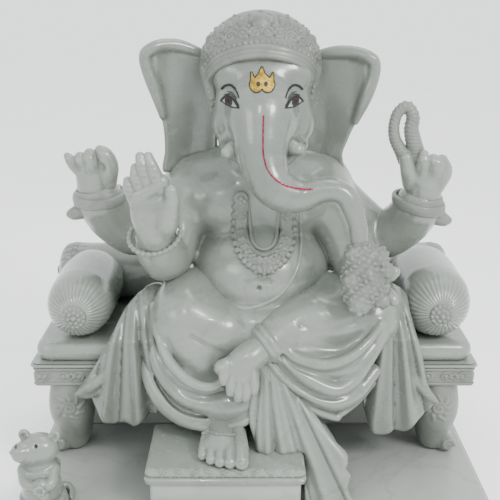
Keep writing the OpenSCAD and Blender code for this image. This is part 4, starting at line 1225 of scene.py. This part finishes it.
def make_mouse():
    """Small seated mouse, upright, looking to the figure's right, with its paws held together in front."""
    x, y, z = -248, -158, PLINTH_TOP
    mouse = Carving((x - 35, y - 40, z - 1), (x + 42, y + 66, z + 118), 1.1)
    mouse.blob((x, y + 8, z + 26), (23, 27, 32))
    mouse.blob((x + 2, y + 2, z + 54), (20, 20, 24), blend=10)
    mouse.blob((x + 3, y - 1, z + 84), (22, 18, 18.5), blend=8)
    # snout with its nose, round ears, folded arms and feet
    mouse.stroke([(x - 8, y - 8, z + 83), (x - 12, y - 12, z + 85), (x - 14, y - 14, z + 86)],
                 [14, 12.5, 12], 6)
    mouse.blob((x - 24, y - 19, z + 89), 2.6, blend=1)
    for side, out, rise in ((-1, -14, 100), (1, 21, 99)):
        mouse.blob((x + out, y + 1, z + rise), (6.5, 4.5, 7), (0, side * 18, 0), 3)
        mouse.blob((x + out, y - 3.5, z + rise), (3.6, 2.6, 4.2), (0, side * 18, 0), 2, remove=True)
    for out in (-14, 16):
        mouse.stroke([(x + out * 1.1, y - 4, z + 58), (x + 3 + out * 0.9, y - 20, z + 50),
                      (x + 6, y - 26, z + 48)], [8.5, 7, 5.5], 3)
        mouse.stroke([(x + out * 1.1, y + 8, z + 12), (x + out * 1.2, y - 16, z + 7),
                      (x + out * 1.1, y - 27, z + 5)], [12, 8, 5], 4)
    # paws round a sweet
    mouse.blob((x + 8, y - 25, z + 50), (9, 8, 9), blend=3)
    mouse.blob((x + 10, y - 22, z + 36), (7, 7, 7), blend=3)
    for k in range(7):
        a = k * 2 * math.pi / 7
        mouse.blob((x + 8 + 5 * math.cos(a), y - 33, z + 48 + 5 * math.sin(a)), 2.4, blend=1)
    for eye in mouse.on([x - 19, x + 3], [z + 95, z + 94], 0.5):
        mouse.stroke([eye, eye + [0, 5, 0]], 1.9, 0.3, remove=True)
    # collar and a saddle band, then the tail
    for rise, r in ((60, 20), (56.5, 20.6), (20, 24.5)):
        mouse.stroke([(x + 1 + r * math.cos(a), y + 4 + r * 1.06 * math.sin(a), z + rise)
                      for a in np.linspace(0, 2 * math.pi, 21)], 2.4, 3)
    mouse.stroke([(x + 6, y + 34, z + 8), (x + 18, y + 44, z + 7), (x + 27, y + 38, z + 5),
                  (x + 30, y + 22, z + 4)], [6, 5, 4, 2.5], 3)
    mouse.above(z + 0.2)
    keep_carving(mouse, "mouse")


make_mouse()


# ---------- plinth, bench, cushions and footstool ----------

def slab(name, lowest, highest, profile, corner, material, slot, *nodes):
    """A block with rounded corners whose edge follows a profile of (inset, height from 0 to 1)."""
    lowest, highest = np.array(lowest, float), np.array(highest, float)
    steps = 7
    loops = []
    for inset, rise in profile:
        r = max(corner - inset * 0.5, 0.6)
        height = lowest[2] + rise * (highest - lowest)[2]
        loop = []
        for quarter, (sx, sy) in enumerate(((1, 1), (-1, 1), (-1, -1), (1, -1))):
            cx = (highest[0] - inset - r) if sx > 0 else (lowest[0] + inset + r)
            cy = (highest[1] - inset - r) if sy > 0 else (lowest[1] + inset + r)
            for k in range(steps):
                a = math.radians(90 * quarter + 90 * k / (steps - 1))
                loop.append((cx + r * math.cos(a), cy + r * math.sin(a), height))
        loops.append(loop)
    count = len(loops[0])
    bm = bmesh.new()
    verts = [[bm.verts.new(Vector(p) * MM) for p in loop] for loop in loops]
    for a, b in zip(verts, verts[1:]):
        for i in range(count):
            j = (i + 1) % count
            bm.faces.new((a[i], a[j], b[j], b[i]))
    bm.faces.new(verts[0][::-1])
    bm.faces.new(verts[-1])
    bmesh.ops.recalc_face_normals(bm, faces=bm.faces)
    mesh = bpy.data.meshes.new(name)
    bm.to_mesh(mesh)
    bm.free()
    mesh.shade_smooth()
    mesh.set_sharp_from_angle(angle=math.radians(32))
    keep_piece(linked(name, mesh), material, slot, *nodes)


def node_slab(name, profile, corner, material, slot):
    """A slab that fills the box of the CAD node that it stands for."""
    slab(name, low(name), high(name), profile, corner, material, slot, name)


def rounded(radius_share, inset):
    """Profile of a slab with rounded lower and upper edges."""
    steps = np.linspace(0, math.pi / 2, 6)
    lower = [(inset * (1 - math.sin(a)), radius_share * (1 - math.cos(a))) for a in steps]
    upper = [(i, 1 - z) for i, z in reversed(lower)]
    return lower + upper


def turned_form(name, centre, lengthwise, profile, around, ripple):
    """A polished form turned on a lathe along X (0) or -Y (1): a smooth profile of (radius, along),
    with ripples worked round it."""
    rows = curve([(r, 0, s) for r, s in profile], 0, 2.0)
    angles = 2 * math.pi * np.arange(around) / around
    points = []
    for r, _, s, _ in rows:
        flat = np.maximum(r + ripple(angles, s, r), 0.4)
        a, b, c = flat * np.cos(angles), flat * np.sin(angles), np.full(around, s)
        points.append(np.column_stack([a, -c, b] if lengthwise else [c, a, b]))
    points = np.vstack(points) + np.array(centre)
    i, j = np.meshgrid(np.arange(len(rows) - 1) * around, np.arange(around), indexing="ij")
    k = (j + 1) % around
    faces = np.stack([i + j, i + k, i + around + k, i + around + j], -1).reshape(-1, 4)
    piece = mesh_object(name, points, faces)
    bm = bmesh.new()
    bm.from_mesh(piece.data)
    bmesh.ops.holes_fill(bm, edges=[e for e in bm.edges if e.is_boundary], sides=0)
    bmesh.ops.recalc_face_normals(bm, faces=bm.faces)
    bm.to_mesh(piece.data)
    bm.free()
    keep_piece(piece, POLISHED, "polished_marble", name)


def make_plinth():
    node_slab("plinth", [(2, 0), (0, 0.06), (0, 0.80), (0.6, 0.84), (4, 0.86), (5, 0.90), (5.5, 0.97),
                         (7, 1)], 9, MATTE_PAINTED_LIGHT, "matte_marble")


def make_bench():
    node_slab("bench_core", [(3, 0), (0, 0.03), (0, 0.97), (3, 1)], 6, MATTE_PAINTED_LIGHT, "matte_marble")
    node_slab("bench_top", [(6, 0), (1.5, 0.08), (0.5, 0.2), (0, 0.4), (0.5, 0.62), (2, 0.74), (4.5, 0.78),
                            (4.5, 0.86), (3, 0.9), (2.6, 0.95), (4, 1)], 10, POLISHED, "polished_marble")
    node_slab("seat_mattress", rounded(0.5, 7), 18, POLISHED, "polished_marble")


def scroll(centre, across, up, size, turns, hand):
    """Points of a flat spiral."""
    full = turns * 2 * math.pi
    points = []
    for t in np.linspace(0, full, int(turns * 9)):
        r = size * (1 - t / full * 0.8)
        points.append(centre + r * (math.cos(t) * across * hand + math.sin(t) * up))
    return points


def make_band():
    """Carved band: leafy scrolls between two beads, along the front and both sides."""
    lowest, highest = low("bench_band"), high("bench_band")
    height = highest[2] - lowest[2]
    mid = (lowest[2] + highest[2]) / 2
    front = -50.0
    slab("bench_band_body", (lowest[0] + 1, front, lowest[2]), highest - [1, 0, 0],
         [(1, 0), (0, 0.05), (0, 0.95), (1, 1)], 4, CARVED, "carved_marble")
    left, back, up = np.eye(3)
    depth = highest[1] - front - 8
    strips = [("bench_band", (lowest[0] + 4, front, mid), left, highest[0] - lowest[0] - 8, -back),
              ("bench_band_right_side", (lowest[0] + 1, front + 4, mid), back, depth, -left),
              ("bench_band_left_side", (highest[0] - 1, front + 4, mid), back, depth, left)]
    for name, start, along, length, out in strips:
        end = start + along * length
        reach = 7 + up * height / 2
        strip = Carving(np.minimum(start, end) - reach, np.maximum(start, end) + reach, 1.0)
        for rise in (-height / 2 + 2.2, height / 2 - 2.2):
            strip.stroke([start + up * rise - out * 0.4, end + up * rise - out * 0.4], 2.2, 0)
        strip.stroke([start - out * 2.4, end - out * 2.4], 2.8, 0)
        count = int(length // 21)
        for i in range(count):
            centre = start + along * (i + 0.5) * (length / count)
            hand = 1 if i % 2 else -1
            strip.stroke(scroll(centre, along, up, 6.6, 1.4, hand), 1.5, 1)
            strip.stroke([centre + along * hand * 6.6, centre + along * hand * 11 + up * 5], [2.4, 1], 1)
            strip.stroke([centre + along * hand * 7, centre + along * hand * 11.5 - up * 5], [2.4, 1], 1)
            strip.blob(centre, 2.2, blend=1)
        nodes = ("bench_band",) if name == "bench_band" else ()
        keep_piece(strip.mesh(name), CARVED, "carved_marble", *nodes)


def make_bench_legs():
    """Bulging legs that narrow to a foot with a scroll on its outer side, and a low flower on the knee."""
    across, _, up = np.eye(3)
    for side, name in ((RIGHT, "right_bench_leg"), (LEFT, "left_bench_leg")):
        lowest, highest = low(name), high(name)
        bottom, top = lowest[2], highest[2]
        x = side * 240
        leg = Carving((x - 48, lowest[1] - 12, bottom - 2), (x + 48, highest[1] + 14, top + 3), 1.3)
        for y in np.linspace(lowest[1] + 29, highest[1] - 26, 3):
            leg.stroke([(x - side * 9, y, top + 6), (x - side * 6, y, top - 20), (x - side * 3, y, top - 44),
                        (x - side * 3, y + 8, bottom + 36), (x - side * 2, y + 14, bottom + 17)],
                       [27, 29, 28, 22, 19], 5)
        leg.stroke([(x + side * 13, lowest[1] + 32, bottom + 12),
                    (x + side * 14, highest[1] - 20, bottom + 12)], 11.5, 4)
        foot = np.array([x + side * 15, lowest[1] + 21.5, bottom + 13])
        leg.stroke(scroll(foot, across, up, 8, 1.5, side), 2.2, 2)
        knee = np.array([x - side * 6, 0, top - 32])
        spiral = scroll(knee, across, up, 9, 1.5, side)
        petals = [[knee + 12 * (math.cos(a) * across + math.sin(a) * up),
                   knee + 19 * (math.cos(a + 0.3) * across + math.sin(a + 0.3) * up)]
                  for a in np.arange(9) * 0.698]
        flats = [leg.on(*np.array(points)[:, [0, 2]].T, -0.5) for points in [spiral] + petals]
        leg.stroke(flats[0], 1.7, 1.5)
        for points in flats[1:]:
            leg.stroke(points, [2.2, 1.4], 1.5)
        leg.above(bottom + 0.1)
        leg.below(top - 0.1)
        keep_carving(leg, name, CARVED, "carved_marble")


def make_back_roll():
    """A long bolster along the back, gathered at both ends."""
    lowest, highest = low("back_roll"), high("back_roll")
    radius = (highest[2] - lowest[2]) / 2
    centre = (0, (lowest[1] + highest[1]) / 2, lowest[2] + radius)
    half = (highest[0] - lowest[0]) / 2
    ends = [(0.5, half), (5, half - 1), (8, half - 5), (radius * 0.55, half - 7), (radius * 0.9, half - 15),
            (radius, half - 32), (radius, half - 70)]
    profile = [(r, -s) for r, s in ends] + [(r, s) for r, s in reversed(ends)]

    def ripple(angles, s, r):
        deep = 1.6 * max(0.0, 1 - (half - abs(s)) / 60) * min(1, r / 14)
        return deep * np.cos(angles * 22)
    turned_form("back_roll", centre, 0, profile, 132, ripple)


def make_bolsters():
    """Side bolsters with a domed, pleated front end; the figure's left one is a little fuller."""
    for side, word, shift, fuller in ((RIGHT, "right", 6, 0), (LEFT, "left", 3, 3)):
        name = word + "_bolster"
        lowest, highest = low(name), high(name)
        radius = (highest[0] - lowest[0]) / 2 + fuller
        x = (lowest[0] + highest[0]) / 2 + shift
        centre = (x, 0, lowest[2] + radius)
        front, back = -lowest[1], -highest[1]
        profile = [(0.5, front + 4), (12, front + 3.5), (19, front + 1), (radius * 0.62, front - 5),
                   (radius * 0.80, front - 14), (radius * 0.93, front - 27), (radius * 0.985, front - 41),
                   (radius, front - 58), (radius, back + 12), (radius - 10, back + 1), (0.5, back)]

        def ripple(angles, s, r, front=front):
            near = np.clip(1 - (front - s) / 30, 0, 1)
            deep = 1.5 * near * min(1, r / 20)
            return deep * (np.abs(np.cos(angles * 18)) - 0.6)
        turned_form(name, centre, 1, profile, 324, ripple)
        make_rosette(word + "_bolster_button", x, centre[2] - 3)


def make_rosette(name, x, z):
    """Carved flower on a bolster's end: a boss and two rings of petals."""
    y = high(name)[1] - 3
    flower = Carving((x - 22, y - 14, z - 22), (x + 22, y + 8, z + 22), 0.8)
    flower.blob((x, y, z), (15, 5, 15), blend=0)
    flower.blob((x, y - 5, z), (3.6, 3.4, 3.6), blend=1.5)
    for ring, count, size, lift in ((6.8, 7, 2.7, 4), (12.2, 14, 2.5, 2)):
        for k in range(count):
            a = 2 * math.pi * (k + ring * 0.1) / count
            flower.blob((x + ring * math.cos(a), y - lift, z + ring * math.sin(a)), (size, 2.6, size),
                        blend=1)
    keep_carving(flower, name, CARVED, "carved_marble")


def make_footstool():
    """The stool, with a wavy fringe of cloth lying over the slab's front edge."""
    node_slab("footstool_block", [(4, 0), (1, 0.04), (0, 0.1), (0, 0.9), (1, 0.96), (4, 1)], 5,
              MATTE_PAINTED_LIGHT, "matte_marble")
    node_slab("footstool_top", [(5, 0), (1, 0.10), (0.5, 0.22), (0, 0.34), (1.5, 0.46), (3, 0.50), (3, 0.56),
                                (1.5, 0.62), (1, 0.74), (2, 0.9), (5, 1)], 7, POLISHED, "polished_marble")
    lowest, highest = low("footstool_top"), high("footstool_top")
    y = lowest[1] + 2
    fringe = Carving((lowest[0] + 4, y - 6, highest[2] - 14), (highest[0] - 2, y + 14, highest[2] + 6), 1.0)
    xs = np.arange(lowest[0] + 16, highest[0] - 8, 5)
    wave = [(x, y + 2 + 1.6 * math.sin(x * 0.9), highest[2] - 3 + 1.5 * math.sin(x * 0.55)) for x in xs]
    fringe.stroke(wave, 2.4, 1)
    for k, x in enumerate(xs):
        fringe.blob((x, y + 1, highest[2] - 7 - (k % 2)), (2.6, 2, 2.4), blend=1)
    keep_piece(fringe.mesh("footstool_fringe"), CARVED, "carved_marble")


make_plinth()
make_bench()
make_band()
make_bench_legs()
make_back_roll()
make_bolsters()
make_footstool()


# ---------- inner dowels stay as made ----------

def steel():
    material, tree, shader = new_material("brushed steel")
    tone = ramp(tree, noise(tree, 500, 3), (0.3, (0.45, 0.45, 0.46)), (0.7, (0.62, 0.62, 0.63)))
    tree.links.new(tone, shader.inputs["Base Color"])
    shader.inputs["Metallic"].default_value = 1.0
    shader.inputs["Roughness"].default_value = 0.35
    bumped(tree, shader, noise(tree, 1500, 3), 0.2, 0.0002)
    return material


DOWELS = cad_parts["hand_dowels"]
DOWELS.data.materials.clear()
DOWELS.data.materials.append(steel())


# ---------- floor, light and camera ----------

def make_floor():
    mesh = bpy.data.meshes.new("floor")
    mesh.from_pydata([(-60, -60, 0), (60, -60, 0), (60, 60, 0), (-60, 60, 0)], [], [(0, 1, 2, 3)])
    material, tree, shader = new_material("pale floor")
    tone = ramp(tree, noise(tree, 3, 3), (0.3, (0.93, 0.93, 0.92)), (0.7, (0.96, 0.96, 0.95)))
    tree.links.new(tone, shader.inputs["Base Color"])
    shader.inputs["Roughness"].default_value = 0.7
    mesh.materials.append(material)
    linked("floor", mesh)


def area_light(name, place, target, size, power, colour=(1, 1, 1)):
    data = bpy.data.lights.new(name, "AREA")
    data.shape = "RECTANGLE"
    data.size, data.size_y = size
    data.energy = power
    data.color = colour
    lamp = linked(name, data)
    lamp.location = place
    lamp.rotation_euler = (Vector(target) - Vector(place)).to_track_quat("-Z", "Y").to_euler()


def make_light():
    area_light("key softbox", (1.1, -1.3, 1.5), (0, 0, 0.25), (0.5, 0.5), 34, (1.0, 1.0, 0.98))
    area_light("fill softbox", (-1.5, -1.4, 1.2), (0, 0, 0.25), (0.8, 0.6), 8, (0.97, 0.98, 1.0))
    area_light("top softbox", (0.3, 0.3, 2.4), (0, 0, 0.2), (1.2, 0.8), 12)
    area_light("left spark", (-0.25, -1.5, 1.5), (0, 0, 0.3), (0.03, 0.24), 5)
    area_light("right spark", (0.55, -1.3, 1.6), (0, 0, 0.3), (0.025, 0.20), 4)
    world = bpy.data.worlds.new("studio")
    world.use_nodes = True
    world.node_tree.nodes["Background"].inputs["Color"].default_value = (0.96, 0.98, 1.0, 1)
    world.node_tree.nodes["Background"].inputs["Strength"].default_value = 2.0
    bpy.context.scene.world = world


def make_camera():
    data = bpy.data.cameras.new("camera")
    data.lens = 61.2
    data.sensor_width = 36
    camera = linked("camera", data)
    camera.location = (-0.005, -1.020, 0.6215)
    camera.rotation_euler = (math.radians(73), 0, 0)
    bpy.context.scene.camera = camera


make_floor()
make_light()
make_camera()
